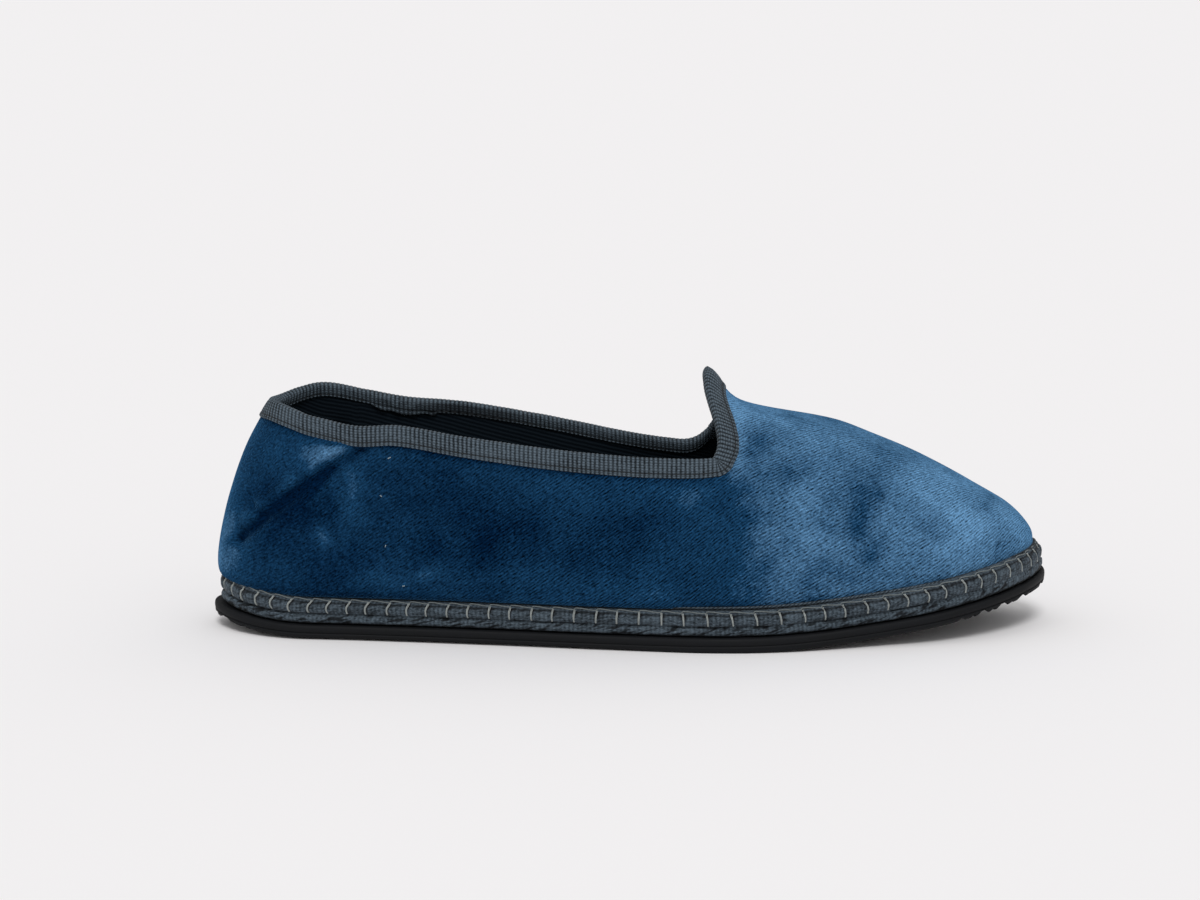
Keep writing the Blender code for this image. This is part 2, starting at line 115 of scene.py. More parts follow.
SOLE = table(
    "station axis lateral medial under welt",
    (0.00, 1.5, 23.0, 26.0, 3.3, 0.8),
    (0.13, 1.5, 25.2, 28.3, 2.6, 0.8),
    (0.23, 1.0, 28.6, 28.3, 3.2, 0.8),
    (0.35, 0.0, 33.8, 27.6, 3.4, 0.8),
    (0.47, 0.0, 39.6, 31.5, 2.6, 0.8),
    (0.58, 0.0, 43.6, 38.8, 0.8, 0.8),
    (0.68, 0.5, 42.6, 43.6, 0.6, 0.9),
    (0.80, 2.5, 35.5, 41.0, 1.5, 1.0),
    (0.89, 5.5, 30.5, 36.5, 2.2, 1.0),
    (1.00, 10.0, 22.0, 31.0, 2.4, 1.0),
)
HEEL_END = named("reach power", 32.0, 1.9)
TOE_END = named("reach power", 52.0, 2.2)
LAST = table(
    "station crown rise close swell_lateral swell_medial",
    (0.00, 83.0, 2.35, 1.3, 2.6, 2.6),
    (0.10, 102.0, 2.1, 1.7, 4.2, 4.2),
    (0.20, 116.0, 2.0, 2.0, 4.4, 4.2),
    (0.35, 110.0, 2.0, 2.1, 4.4, 4.4),
    (0.50, 88.0, 2.1, 2.2, 3.8, 3.8),
    (0.58, 77.0, 2.2, 2.3, 2.8, 2.8),
    (0.62, 72.6, 2.2, 2.3, 2.2, 2.2),
    (0.66, 69.7, 2.2, 2.3, 1.7, 1.7),
    (0.75, 65.3, 2.2, 2.2, 1.2, 1.2),
    (0.80, 60.4, 2.2, 2.2, 1.0, 1.0),
    (0.85, 54.8, 2.2, 2.2, 0.9, 0.9),
    (0.90, 48.0, 2.2, 2.2, 0.8, 0.8),
    (0.95, 40.5, 2.2, 2.2, 0.8, 0.8),
    (1.00, 32.5, 2.2, 2.2, 0.8, 0.8),
)
COLLAR = table(
    "station lateral medial",
    (0.00, 71.4, 71.4),
    (0.04, 72.0, 71.6),
    (0.08, 70.6, 73.4),
    (0.12, 68.1, 74.4),
    (0.17, 65.6, 71.8),
    (0.22, 66.0, 69.4),
    (0.30, 63.0, 67.6),
    (0.40, 60.0, 63.0),
    (0.50, 58.0, 57.2),
    (0.55, 57.5, 54.9),
    (0.57, 57.4, 54.5),
    (0.585, 57.4, 55.8),
    (0.60, 57.6, 59.4),
)
# How far the throat's edge lies ahead of its corner, at shares of the way from there to the peak
THROAT = table(
    "station ahead",
    (0.00, 0.0),
    (0.12, 1.6),
    (0.24, 1.9),
    (0.36, 1.4),
    (0.50, 0.5),
    (0.65, -0.8),
    (0.80, -1.8),
    (1.00, -PEAK_BACK),
)

# Sides of the sole's layers from below: inset from the outsole's edge and height over the layer's base
BAND_EDGE = table(
    "inset height",
    (3.0, 0.0),
    (1.9, 0.2),
    (1.3, 0.6),
    (1.0, 1.1),
    (0.9, 1.7),
    (1.05, 2.2),
    (1.45, 2.6),
    (1.8, 2.9),
    (1.6, 3.25),
    (1.35, 3.7),
    (1.1, 4.3),
    (0.98, 4.9),
    (0.95, 5.5),
    (1.1, 6.1),
    (1.35, 6.7),
    (1.7, 7.2),
    (2.2, 7.65),
    (3.0, MIDSOLE_THICK),
    (3.6, MIDSOLE_THICK),
)
BAND_RIM = 3.0
RIM_SOFT = 0.6

# Streaks, lumps and sag of the band's tape: length, width, turn up from the way round, and seed
STREAK = "long wide turn seed"
STROKES = named(STREAK, 3.6, 0.7, math.radians(17), 5)
LUMPS = named(STREAK, 5.0, 5.0, 0.0, 8)
SAG = named(STREAK, 9.0, 9.0, 0.0, 6)
# How far round the streaks change, and how far from the middle of the heel they set in
STREAK_RUN = 60.0
CALM_RUN = 5.0

# Heights between which the band swells, rolls at its foot and is drawn in beside its stitches
PILLOW_ZONE = (2.7, 3.8, 6.8, 7.3)
ROLL_ZONE = (0.1, 0.8, 2.4, 3.4)
BESIDE_ZONE = (3.6, 6.0, 6.9, 7.2)
# What shapes the swells between the stitches and the roll below them, and how dark the shade painted in their
# hollows and along the streaks is
PILLOW = named("power full lumps sunk strokes dark", 5, 0.9, 0.4, 0.5, 0.12, 0.4)
ROLL = named("strokes lumps", 0.4, 0.3)
STROKE_SHADE = named("dark upper low high", 0.9, 0.5, 0.05, 0.4)
# Dents under the thread along the band, beside each stitch (in shares of the way to the next one) and along
# the swells' feet, with the shade painted in them, and what moves and breaks that last line
DENT = "middle reach depth dark"
THREAD_DENT = named(DENT, -0.6, 0.3, 0.3, 0.85)
BESIDE_DENT = named(DENT, 0.08, 0.05, 0.25, 0.6)
FOOT_DENT = named(DENT, 2.8, 0.28, 0.5, 0.75)
FOOT_LINE = named("sag pillow lumps toe", 0.5, 0.3, 0.6, 0.6)
# Shade in the gap over the outsole, deeper and taller at the toe
GAP_SHADE = named("dark low high toe_dark toe_rise", 0.7, 0.2, 1.0, 0.25, 0.4)
# The darkest that painted shade gets
DARKEST = 0.95

# How much taller the band stands along the shoe, and how far the tops and feet of its stitches lie ahead of
# their middles, in the direction in which they were sewn
BAND = table(
    "station rise top foot",
    (0.00, 1.5, 1.3, 0.7),
    (0.06, 0.8, 1.3, 0.7),
    (0.12, 0.2, 1.4, 0.5),
    (0.18, 0.0, 1.2, 0.2),
    (0.30, 0.0, 0.6, 0.2),
    (0.50, 0.0, 0.4, 0.2),
    (0.58, 0.0, -0.2, 0.4),
    (0.66, 0.0, -0.4, 0.5),
    (0.74, 0.2, -0.8, 0.3),
    (0.82, 0.6, -1.4, -0.1),
    (0.92, 1.4, -1.7, -0.2),
    (1.00, 1.4, -1.7, -0.2),
)
# Share of the way from the middle of the heel to the middle of the toe at which a stitch lies
STITCH_STEPS = table(
    "stitch share",
    (0.0, 0.0),
    (2.05, 0.0395),
    (8.05, 0.1622),
    (14.05, 0.29),
    (25.05, 0.5373),
    (29.05, 0.6402),
    (33.05, 0.7315),
    (38.05, 0.8418),
    (43.05, 0.947),
    (46.0, 1.0),
)
# Section of the narrow tape above the band: share of its height, distance off the last, and how dark it is
# painted, as shade against the velvet
LIP = table(
    "share off dark",
    (0.0, 0.15, DARKEST),
    (0.5, 0.15, DARKEST),
    (1.0, 0.2, DARKEST),
    (1.06, 0.55, 0.5),
    (1.0, 0.95, 0.0),
    (0.75, 1.12, 0.0),
    (0.4, 1.1, 0.0),
    (0.0, 1.0, 0.0),
)
# How dark it is painted, as shade under the velvet, behind the waist and at the toe, and the stations between
# which that changes
LIP_WAIST = named("dark start end", 0.85, 0.5, 0.6)
LIP_TOE = named("dark start end", 0.6, 0.84, 0.93)
INSOLE_DISH = 0.5
INSOLE_EDGE = table(
    "inset height",
    (INSOLE_INSET + 0.9, 0.0),
    (INSOLE_INSET + 0.5, 0.8),
    (INSOLE_INSET + 0.6, 1.4),
    (INSOLE_INSET + 1.0, 1.8),
    (INSOLE_INSET + 1.8, INSOLE_THICK),
)
OUTSOLE_EDGE = table(
    "inset height",
    (0.35, 0.9),
    (0.15, 1.5),
    (0.12, 1.9),
    (0.4, 2.05),
    (0.4, 2.25),
    (0.05, 2.45),
    (0.0, 3.2),
    (0.05, 3.8),
    (0.2, 4.2),
    (0.5, OUTSOLE_THICK),
)
# Rounded lower edge of the outsole: share of the tread's inset, and height
UNDER_EDGE = table("share height", (1.0, 0.0), (0.55, 0.3))
# How far the gaps between the nubs reach up the outsole's lowest rows, how uneven and sharp the nubs are,
# and the stations at which they end and begin
NUB_LIFT = np.array([1.0, 0.9, 0.6, 0.2])
NUB_UNEVEN = 0.25
NUB_EDGE = (-0.1, 0.6)
NUB_HEEL = (0.02, 0.055)
NUB_TOE = (0.86, 0.92)

# Face of the collar's tape from its lower edge up: distance up the tape and off the velvet, and how dark
# it is painted as shade, mostly in the stitched groove
TAPE_FACE = table(
    "up off dark",
    (0.0, 0.12, 0.6),
    (0.05, 0.35, 0.1),
    (0.25, 0.52, 0.0),
    (0.7, 0.58, 0.0),
    (1.0, 0.5, 0.25),
    (1.25, 0.28, 0.7),
    (1.5, 0.5, 0.25),
    (1.9, 0.6, 0.05),
    (2.6, 0.64, 0.0),
    (3.5, 0.66, 0.0),
    (4.3, 0.66, 0.0),
    (BINDING_LEG, 0.62, 0.0),
)
TAPE_SEAT = 0.08
SEAT_ROW = 5
TAPE_WAVE = named("height size seed", 0.1, 6.0, 7)
INNER_LEG_SHARE = 0.6

# Where the tape's ends overlap inside the medial collar: both ends along the shoe and how soft they are,
# how far the overlap stands off and hangs down, its lumps and its ragged edge
JOIN = named("back front soft thick drop", -83.0, -63.0, 1.2, 0.5, 1.3)
JOIN_LUMPS = named("height size seed", 0.6, 2.5, 9)
JOIN_RAGGED = named("share size seed", 0.8, 4.0, 10)

# Where the inner leg of the tape is painted darkest, as shade: its middle along the shoe, reach, and how dark
LEG_SHADE = named("x reach dark", -52.0, 17.0, 0.6)

# How far the tape is drawn in at the throat's corners, and the rows and rise of its fold
CORNER_PULL = 0.14
FOLD_ROWS = 7
FOLD_RISE = 0.85

# Collar's stitches: share of their pitch that shows, height over the tape's lower edge, and how far off the
# velvet their ends lie and their middles rise
STITCH_SPAN = 0.7
STITCH_UP = 1.25
STITCH_SUNK = 0.34
STITCH_PROUD = 0.16

# Blanket stitches: how uneven they are, heights of their tops and feet, how far below its top a strand
# begins, and the seed of their sway
STITCH_UNEVEN = 0.06
STITCH_TOP = 7.2
STITCH_FOOT = 3.0
STITCH_DOWN = 0.3
STITCH_SEED = 11
# Strands of a blanket stitch, in radii: how far they lie off the band, end in it, lie apart at the top and
# close in at the foot; and how far a stitch sways
STRAND = named("off end apart close sway", 0.75, -1.5, 1.15, 0.5, 0.2)
# Thread along the band: how far it lies off in radii, and how it rises, falls and swings in each stitch
TOP_THREAD = named("off rise fall swing", 0.6, 0.3, 0.5, 0.1)

# Soft folds of the velvet: run round the heel from its middle and height over the floor
# of both ends, bow of the line between them, half width, how far the cloth stands out (minus for a trough),
# and how much lighter (painted highlight) or darker (painted shade) the nap is painted along it
FOLDS = table(
    "side run_a height_a run_b height_b bow width out light",
    (-1, 15.9, 30.3, 55.5, 60.0, 0.0, 2.0, -1.9, -0.40),
    (-1, 24.5, 37.5, 19.0, 40.6, 0.0, 1.1, -0.9, -0.2),
    (-1, 18.0, 35.9, 50.4, 60.2, 0.5, 2.4, 1.1, 0.20),
    (-1, 30.0, 52.0, 48.0, 63.0, 1.0, 6.0, 0.7, 0.0),
    (-1, 22.5, 31.0, 50.9, 52.8, 1.0, 2.6, 0.6, 0.06),
    (-1, 28.0, 33.0, 50.0, 49.0, 2.0, 6.0, 0.4, 0.0),
    (-1, 26.0, 31.0, 38.0, 38.0, 0.0, 2.4, -0.7, -0.06),
    (-1, 57.0, 55.0, 59.0, 36.0, 1.0, 3.2, 0.9, 0.04),
    (-1, 63.0, 58.0, 67.0, 30.0, -1.5, 4.0, -0.7, -0.04),
    (-1, 50.0, 44.0, 53.0, 30.0, 0.0, 3.0, -0.5, -0.04),
    (-1, 14.0, 40.0, 24.0, 47.0, 1.0, 2.0, -0.5, -0.08),
    (-1, 260.8, 23.5, 261.4, 27.5, 0.0, 0.9, -1.7, -0.32),
    (-1, 263.6, 24.0, 264.2, 27.0, 0.0, 0.8, -1.2, -0.20),
    (1, 20.0, 30.0, 50.0, 58.0, 2.0, 1.8, -1.5, -0.28),
    (1, 22.0, 38.0, 46.0, 60.0, 2.0, 3.0, 1.0, 0.14),
    (1, 62.0, 56.0, 66.0, 32.0, -1.0, 4.0, -0.6, -0.04),
)

# How far the band tucks in under the heel's end, and where that ends
HEEL_TUCK = 1.3
HEEL_TUCK_END = 0.07

# How far the band's upper edge leans in round the toe and from which station, how far its groove is filled
# there and between which stations that begins, and the groove's height and reach
TOE_LEAN = 1.5
TOE_LEAN_START = 0.93
TOE_FILL = 0.6
TOE_START = (0.86, 0.96)
GROOVE_HEIGHT = 2.9
GROOVE_REACH = 0.6

# How far soft noise moves the folds, its size, and how much it varies their depth
FOLD_WARP = 1.1
FOLD_WARP_SIZE = 8.0
FOLD_VARIES = 0.5
FOLD_SEEDS = (41, 42, 43)
# How far folds run on under the tape, and over which heights they fade out there and above the band
FOLD_UNDER_TAPE = 1.0
FOLD_FADE_TOP = 1.5
FOLD_FADE_FOOT = 8.0

# Gentle waves all over the velvet: height, size and seed
WAVES = table("height size seed", (0.28, 26.0, 3), (0.12, 9.0, 4))

# How far the ribs of the tape slant above the band's stitches
LIP_SLANT = 1.2

# How far the velvet rolls out and down over the band behind the waist, the height of that roll, and the
# stations between which it ends
OVERHANG_OUT = 0.7
OVERHANG_DROP = 1.0
OVERHANG_HEIGHT = 1.8
OVERHANG_END = (0.52, 0.62)

# How much darker the velvet's nap is painted, as shade, just above the band, how far up, and by how much and
# between which stations that eases towards the toe
HEM_SHADE = 0.22
HEM_HEIGHT = 2.4
HEM_EASE = 0.6
HEM_END = (0.52, 0.66)

# How much darker the velvet is painted, as the tape's shadow, below the collar's tape, and how far down
TAPE_SHADE = 0.2
TAPE_SHADE_HEIGHT = 1.1

# How fast the pile's lines turn flatter ahead of the throat, and over which length they begin to
PILE_SHEAR = 0.3
PILE_SHEAR_RUN = 30.0
# Where along the shoe those lines are faint, and where they are clear
LINES_FAINT = -110.0
LINES_CLEAR = -10.0
# Angle and pitch of the lining's twill
TWILL_TURN = math.radians(-75)
TWILL_PITCH = 1.3

# Numbers of sections and rows, and the sizes of small steps
OUTLINE_STEPS = 900
AXIS_STEPS = 401
COLLAR_STEPS = 150
FAN_STEPS = 16
RIB_SAMPLES = 5
BAND_STITCHES = 46
BAND_SAMPLES = 20
FIRST_STITCH = 1
SOLE_COLUMNS = 420
BAND_ROWS = 36
CAP_ROWS = 8
TREAD_ROWS = 44
LOWER_ROWS = 52
BINDING_ROWS = 5
ROW_CROWDING = 1.3
TOP_ROWS = 44
SIDE_COLUMNS = 130
HEEL_COLUMNS = 60
TOE_SLICES = 86
FINE_SIDES = 6
HALVINGS = 26
PROBE = 0.002
TINY = 1e-9
MERGE = 2e-6
NOISE_SHIFT = (7.3, 3.1, 5.7)


def column(rows, name):
    """Values of one column of a table."""
    return np.array([getattr(row, name) for row in rows])


def sums(steps):
    """Running sums of steps, from 0."""
    return np.concatenate([[0.0], np.cumsum(steps)])


def smooth(value, low, high):
    """0 below low, 1 above high and a soft step between them."""
    t = np.clip((value - low) / (high - low), 0, 1)
    return t * t * (3 - 2 * t)


def zone(value, low, full, falling, end):
    """1 from full to falling, with soft steps up from low and down to end."""
    return smooth(value, low, full) * (1 - smooth(value, falling, end))


def hump(distance, reach, power=2):
    """1 at no distance, and falling away softly over a reach."""
    return np.exp(-((distance / reach) ** power))


def along(rows, name, station):
    """Values of a column at stations, on a smooth curve through the table's rows."""
    places, values = column(rows, "station"), column(rows, name)
    last = len(rows) - 1
    station = np.clip(station, places[0], places[-1])
    low = np.clip(np.searchsorted(places, station, side="right") - 1, 0, last - 1)
    before = np.maximum(np.arange(last + 1) - 1, 0)
    after = np.minimum(np.arange(last + 1) + 1, last)
    slopes = (values[after] - values[before]) / (places[after] - places[before])
    span = places[low + 1] - places[low]
    t = (station - places[low]) / span
    return (
        values[low] * (2 * t**3 - 3 * t**2 + 1)
        + values[low + 1] * (3 * t**2 - 2 * t**3)
        + slopes[low] * span * (t**3 - 2 * t**2 + t)
        + slopes[low + 1] * span * (t**3 - t**2)
    )


def by_side(rows, lateral, medial, station, side):
    """A lateral or a medial column of a table, by side."""
    return np.where(np.asarray(side) < 0, along(rows, lateral, station), along(rows, medial, station))


def rounded(depth, reach, power):
    """Share of the full width left at a depth into a rounded end, on a superellipse."""
    into = np.clip(depth / reach, 0.0, 1.0)
    return (1.0 - into**power) ** (1.0 / power)


def axis_shift():
    """Sideways shift that puts the outsole's two widest points at equal distances from the axis."""
    stations = np.linspace(0.0, 1.0, AXIS_STEPS)
    return (along(SOLE, "lateral", stations).max() - along(SOLE, "medial", stations).max()) / 2


AXIS_SHIFT = axis_shift()


def axis_y(station):
    return along(SOLE, "axis", station) + AXIS_SHIFT


def sole_edge(station, side, inset):
    """Points (x, y) of the sole's outline, side -1 lateral or +1 medial, moved in by inset."""
    x = (station - 0.5) * (LENGTH - 2 * inset)
    from_heel = HEEL_END.reach - station * LENGTH
    from_toe = TOE_END.reach - (1 - station) * LENGTH
    cap = rounded(from_heel, HEEL_END.reach, HEEL_END.power)
    cap = cap * rounded(from_toe, TOE_END.reach, TOE_END.power)
    axis = axis_y(station)
    edge = by_side(SOLE, "lateral", "medial", station, side)
    return x, axis + side * (edge + side * (AXIS_SHIFT - axis) - inset) * cap


def station_of(x, inset):
    return x / (LENGTH - 2 * inset) + 0.5


def spring(x):
    """How far the sole's underside lifts off the floor at x."""
    station = station_of(x, 0.0)
    toe = np.maximum(station - TOE_SPRING_START, 0.0) / (1 - TOE_SPRING_START)
    heel = np.maximum(HEEL_SPRING_END - station, 0.0) / HEEL_SPRING_END
    return TOE_SPRING * toe**TOE_SPRING_POWER + HEEL_SPRING * heel**2


def crown_height(x, crown):
    """The crown line, rounded down to the feather edge at the toe."""
    floor = FEATHER_BASE + spring(x)
    toe = LENGTH / 2 - FEATHER_INSET
    drop = rounded((x - toe + TOE_DROP) * TOE_DROP_BLUNT, TOE_DROP, TOE_DROP_POWER)
    return floor + (crown - floor) * drop


def wall_point(station, side, angle):
    """Points of the last: angle 0 is the feather edge at the sole, a right angle the crown."""
    station, side, angle = np.broadcast_arrays(station, side, angle)
    x, y = sole_edge(station, side, FEATHER_INSET)
    floor = FEATHER_BASE + spring(x)
    rise = np.sin(angle) ** (2 / along(LAST, "rise", station))
    height = (crown_height(x, along(LAST, "crown", station)) - floor) * rise
    origin_x = np.maximum(x, HEEL_PIVOT - LENGTH / 2)
    origin_y = axis_y(station)
    width = np.maximum(np.hypot(x - origin_x, y - origin_y), TINY)
    lean = height / BULGE_HEIGHT
    swell = by_side(LAST, "swell_lateral", "swell_medial", station, side)
    bulge = swell * np.minimum(width / BULGE_WIDTH, 1) * lean * np.exp(1 - lean)
    reach = width * np.maximum(np.cos(angle), 0.0) ** (2 / along(LAST, "close", station)) + bulge
    place_x = origin_x + (x - origin_x) / width * reach
    place_y = origin_y + (y - origin_y) / width * reach
    lift = PEAK_LIFT * np.exp(-(((x - PEAK_X) / PEAK_RUN) ** 2) - (place_y / PEAK_SPAN) ** 2)
    lift = lift * np.sin(angle) ** PEAK_CREST
    return np.stack([place_x, place_y, floor + height + lift], axis=-1)


THROAT_X = float(sole_edge(THROAT_STATION, 1, FEATHER_INSET)[0])
PEAK_X = THROAT_X - PEAK_BACK


def unit(vectors):
    return vectors / np.maximum(np.linalg.norm(vectors, axis=-1, keepdims=True), TINY)


def slope_normal(station, side, angle):
    """Outward normals felt out by small steps on the last, away from its crown."""
    place = np.clip(station, PROBE, 1 - PROBE)
    bend = np.maximum(angle, 2 * PROBE)
    forward = wall_point(place + PROBE, side, bend) - wall_point(place - PROBE, side, bend)
    upward = wall_point(place, side, bend + PROBE) - wall_point(place, side, bend - PROBE)
    return unit(np.cross(forward, upward)) * -np.asarray(side)[..., None]


def wall_normal(station, side, angle):
    """Outward normals of the last; on the crown they are the mean of the two sides."""
    station, side, angle = np.broadcast_arrays(station, side, angle)
    near = np.minimum(angle, math.pi / 2 - 2 * PROBE)
    own = slope_normal(station, side, near)
    other = slope_normal(station, -side, near)
    crown = (angle > math.pi / 2 - PROBE)[..., None]
    return unit(np.where(crown, own + other, own))


def angle_at(height, station, side):
    """Angles at which the wall stands this high over the feather edge."""
    x, _ = sole_edge(station, side, FEATHER_INSET)
    full = crown_height(x, along(LAST, "crown", station)) - FEATHER_BASE - spring(x)
    return np.arcsin(np.minimum(height / full, 1.0) ** (along(LAST, "rise", station) / 2))


def angle_below(station, side, top, distance):
    """Angles of the points that lie this far down the wall from the angle of its top."""
    station, side, top, distance = np.broadcast_arrays(station, side, top, distance)
    edge = wall_point(station, side, top)
    low, high = np.zeros(top.shape), np.array(top)
    for _ in range(HALVINGS):
        angle = (low + high) / 2
        beyond = np.linalg.norm(wall_point(station, side, angle) - edge, axis=-1) > distance
        low = np.where(beyond, angle, low)
        high = np.where(beyond, high, angle)
    return high


def collar_angle(station, side):
    """Angle of the collar's edge."""
    x, _ = sole_edge(station, side, FEATHER_INSET)
    collar = by_side(COLLAR, "lateral", "medial", station, side)
    return angle_at(collar - FEATHER_BASE - spring(x), station, side)


def wall_angles(station, side):
    """Angles of the wall's rows, from the feather edge to the collar, for columns at stations."""
    top = collar_angle(station, side)
    foot = angle_below(station, side, top, BINDING_LEG)
    lower = (np.arange(LOWER_ROWS + 1) / LOWER_ROWS) ** ROW_CROWDING
    upper = np.arange(1, BINDING_ROWS + 1) / BINDING_ROWS
    return np.concatenate(
        [foot[:, None] * lower, foot[:, None] + (top - foot)[:, None] * upper], axis=1
    )


def heel_stations():
    """Stations of the wall's columns on one side, from the throat back to the middle of the heel."""
    pivot = HEEL_PIVOT / LENGTH
    quarter = THROAT_STATION + (pivot - THROAT_STATION) * np.arange(SIDE_COLUMNS) / SIDE_COLUMNS
    heel = pivot * (1 - np.sin(math.pi / 2 * np.arange(HEEL_COLUMNS + 1) / HEEL_COLUMNS))
    return np.concatenate([quarter, heel])


def side_places():
    """Places on the last of the upper's walls, from the lateral throat round the heel to the medial one."""
    half = heel_stations()
    stations = np.concatenate([half, half[::-1]])
    sides = np.concatenate([-np.ones(len(half)), np.ones(len(half))])
    angles = wall_angles(stations, sides)
    return np.broadcast_arrays(stations[:, None], sides[:, None], angles)


def vamp_places():
    """Places on the last of the vamp: slices from the throat to the toe, lateral over to medial."""
    toe = LENGTH / 2 - FEATHER_INSET
    first = THROAT_X + BINDING_LEG * np.arange(BINDING_ROWS + 1) / BINDING_ROWS
    run = toe - first[-1]
    share = np.arange(1, TOE_SLICES + 1) / TOE_SLICES
    places = np.concatenate([first, first[-1] + run * np.sin(math.pi / 2 * share)])
    bow = np.clip(1 - (places - first[-1]) / (run / 2), 0, 1)
    corner = np.array([THROAT_STATION, THROAT_STATION])
    lower = wall_angles(corner, np.array([-1.0, 1.0]))
    rows = np.arange(1, TOP_ROWS + 1) / TOP_ROWS
    parts = []
    for wall, side in zip(lower, (-1.0, 1.0)):
        angles = np.concatenate([wall, wall[-1] + (math.pi / 2 - wall[-1]) * rows])
        ahead = np.concatenate([np.zeros(len(wall)), along(THROAT, "ahead", rows)])
        stations = station_of(places[:, None] + bow[:, None] * ahead, FEATHER_INSET)
        parts.append(np.broadcast_arrays(stations, side, angles))
    lateral, medial = parts
    return [np.concatenate([a, b[:, -2::-1]], axis=1) for a, b in zip(lateral, medial)]


def edge_run(stations, side, inset):
    """Distances round the sole's edge from the first of the stations to each."""
    x, y = sole_edge(stations, side, inset)
    return sums(np.hypot(np.diff(x), np.diff(y)))


def heel_run(station, side):
    """Distance round the sole's edge from the middle of the heel to a station."""
    stations = np.linspace(0.0, 1.0, OUTLINE_STEPS)
    found = np.zeros(np.shape(station))
    for hand in (-1, 1):
        run = edge_run(stations, hand, FEATHER_INSET)
        found = np.where(np.asarray(side) == hand, np.interp(station, stations, run), found)
    return found


def cloth_noise(points, size, seed):
    """Smooth noise from -1 to 1 at points, with patches of a size in millimetres."""
    shift = Vector([seed * value for value in NOISE_SHIFT])
    flat = points.reshape(-1, 3) / size
    values = [noise.noise(Vector(point) + shift) for point in flat]
    return np.array(values).reshape(points.shape[:-1])


def line_distance(run, height, row):
    """Distance from a fold's line, which bows to one side."""
    start = np.array([row.run_a, row.height_a])
    way = np.array([row.run_b, row.height_b]) - start
    length = np.hypot(*way)
    ahead = way / length
    aside = np.array([-ahead[1], ahead[0]])
    place = np.stack([run, height], axis=-1) - start
    share = place @ ahead / length
    bend = row.bow * np.sin(math.pi * np.clip(share, 0, 1))
    beyond = (np.maximum(-share, 0) + np.maximum(share - 1, 0)) * length
    return np.hypot(place @ aside - bend, beyond)


def fold_depth(station, side, points):
    """How far the velvet's folds move it outward, the shade and highlights painted along them, and their
    fading at both edges.
    """
    ahead, up, deep = (cloth_noise(points, FOLD_WARP_SIZE, seed) for seed in FOLD_SEEDS)
    run = heel_run(station, side) + FOLD_WARP * ahead
    height = points[..., 2] + FOLD_WARP * up
    varied = 1 + FOLD_VARIES * deep
    out = np.zeros(run.shape)
    light = np.zeros(run.shape)
    for row in FOLDS:
        distance = line_distance(run, height, row)
        share = np.where(side == row.side, hump(distance, row.width), 0)
        out += row.out * share * varied
        # Painted shade in the troughs and painted highlight on the ridges
        light += row.light * share * varied
    collar = by_side(COLLAR, "lateral", "medial", station, side)
    fade_top = np.clip((collar - BINDING_LEG - height + FOLD_UNDER_TAPE) / FOLD_FADE_TOP, 0, 1)
    fade_foot = np.clip((height - FEATHER_BASE - spring(points[..., 0])) / FOLD_FADE_FOOT, 0, 1)
    return out, light, fade_top * fade_foot


def add_object(name, data):
    """A new object in the scene."""
    made = bpy.data.objects.new(name, data)
    bpy.context.scene.collection.objects.link(made)
    return made


class Patchwork:
    """Collects grids of points with their UVs, finishes and marks, and joins them into one mesh."""

    def __init__(self):
        self.points = []
        self.corners = []
        self.uvs = []
        self.finishes = []
        self.marks = []
        self.count = 0

    def grid(self, points, uv, finish, closed=False, flip=False, mark=0.0):
        """Adds a grid (columns, rows) and returns the numbers of its points."""
        columns, rows = points.shape[:2]
        numbers = self.count + np.arange(columns * rows).reshape(columns, rows)
        self.points.append(points.reshape(-1, 3))
        self.marks.append(np.broadcast_to(mark, (columns, rows)).reshape(-1))
        self.count += columns * rows
        last = uv[:1] + (uv[-1:] - uv[-2:-1] + uv[-1:] - uv[:1]) if closed else uv[:0]
        wide = np.concatenate([uv, last])
        around = np.concatenate([numbers, numbers[:1]]) if closed else numbers
        self.quads(around, wide, finish, flip)
        return numbers

    def quads(self, numbers, uv, finish, flip=False):
        """Adds the quads between neighbouring columns and rows of numbered points."""
        order = (0, 3, 2, 1) if flip else (0, 1, 2, 3)
        for store, values in ((self.corners, numbers), (self.uvs, uv)):
            quads = [values[:-1, :-1], values[1:, :-1], values[1:, 1:], values[:-1, 1:]]
            stacked = np.stack([quads[i] for i in order], axis=2)
            store.append(stacked.reshape(-1, 4, *stacked.shape[3:]))
        self.finishes.append(np.full(len(self.corners[-1]), finish))

    def strip(self, one, other, finish, flip=False):
        """Joins two lines of numbered points by a strip of quads."""
        numbers = np.stack([one, other], axis=1)
        self.quads(numbers, np.zeros((*numbers.shape, 2)), finish, flip)

    def make(self, name, materials, mark_name="nap"):
        """The joined mesh as an object in metres."""
        points = np.concatenate(self.points) * MM
        corners = np.concatenate(self.corners)
        mesh = bpy.data.meshes.new(name)
        mesh.from_pydata(points.tolist(), [], corners.tolist())
        layer = mesh.uv_layers.new(name="cloth")
        layer.uv.foreach_set("vector", (np.concatenate(self.uvs) * MM).astype(np.float32).ravel())
        mesh.polygons.foreach_set("material_index", np.concatenate(self.finishes).astype(np.int32))
        mark = mesh.attributes.new(mark_name, "FLOAT", "POINT")
        mark.data.foreach_set("value", np.concatenate(self.marks).astype(np.float32))
        for material in materials:
            mesh.materials.append(material)
        bm = bmesh.new()
        bm.from_mesh(mesh)
        bmesh.ops.remove_doubles(bm, verts=bm.verts, dist=MERGE)
        bmesh.ops.dissolve_degenerate(bm, edges=bm.edges, dist=MERGE / 2)
        bmesh.ops.recalc_face_normals(bm, faces=bm.faces)
        bm.to_mesh(mesh)
        bm.free()
        mesh.shade_smooth()
        return add_object(name, mesh)


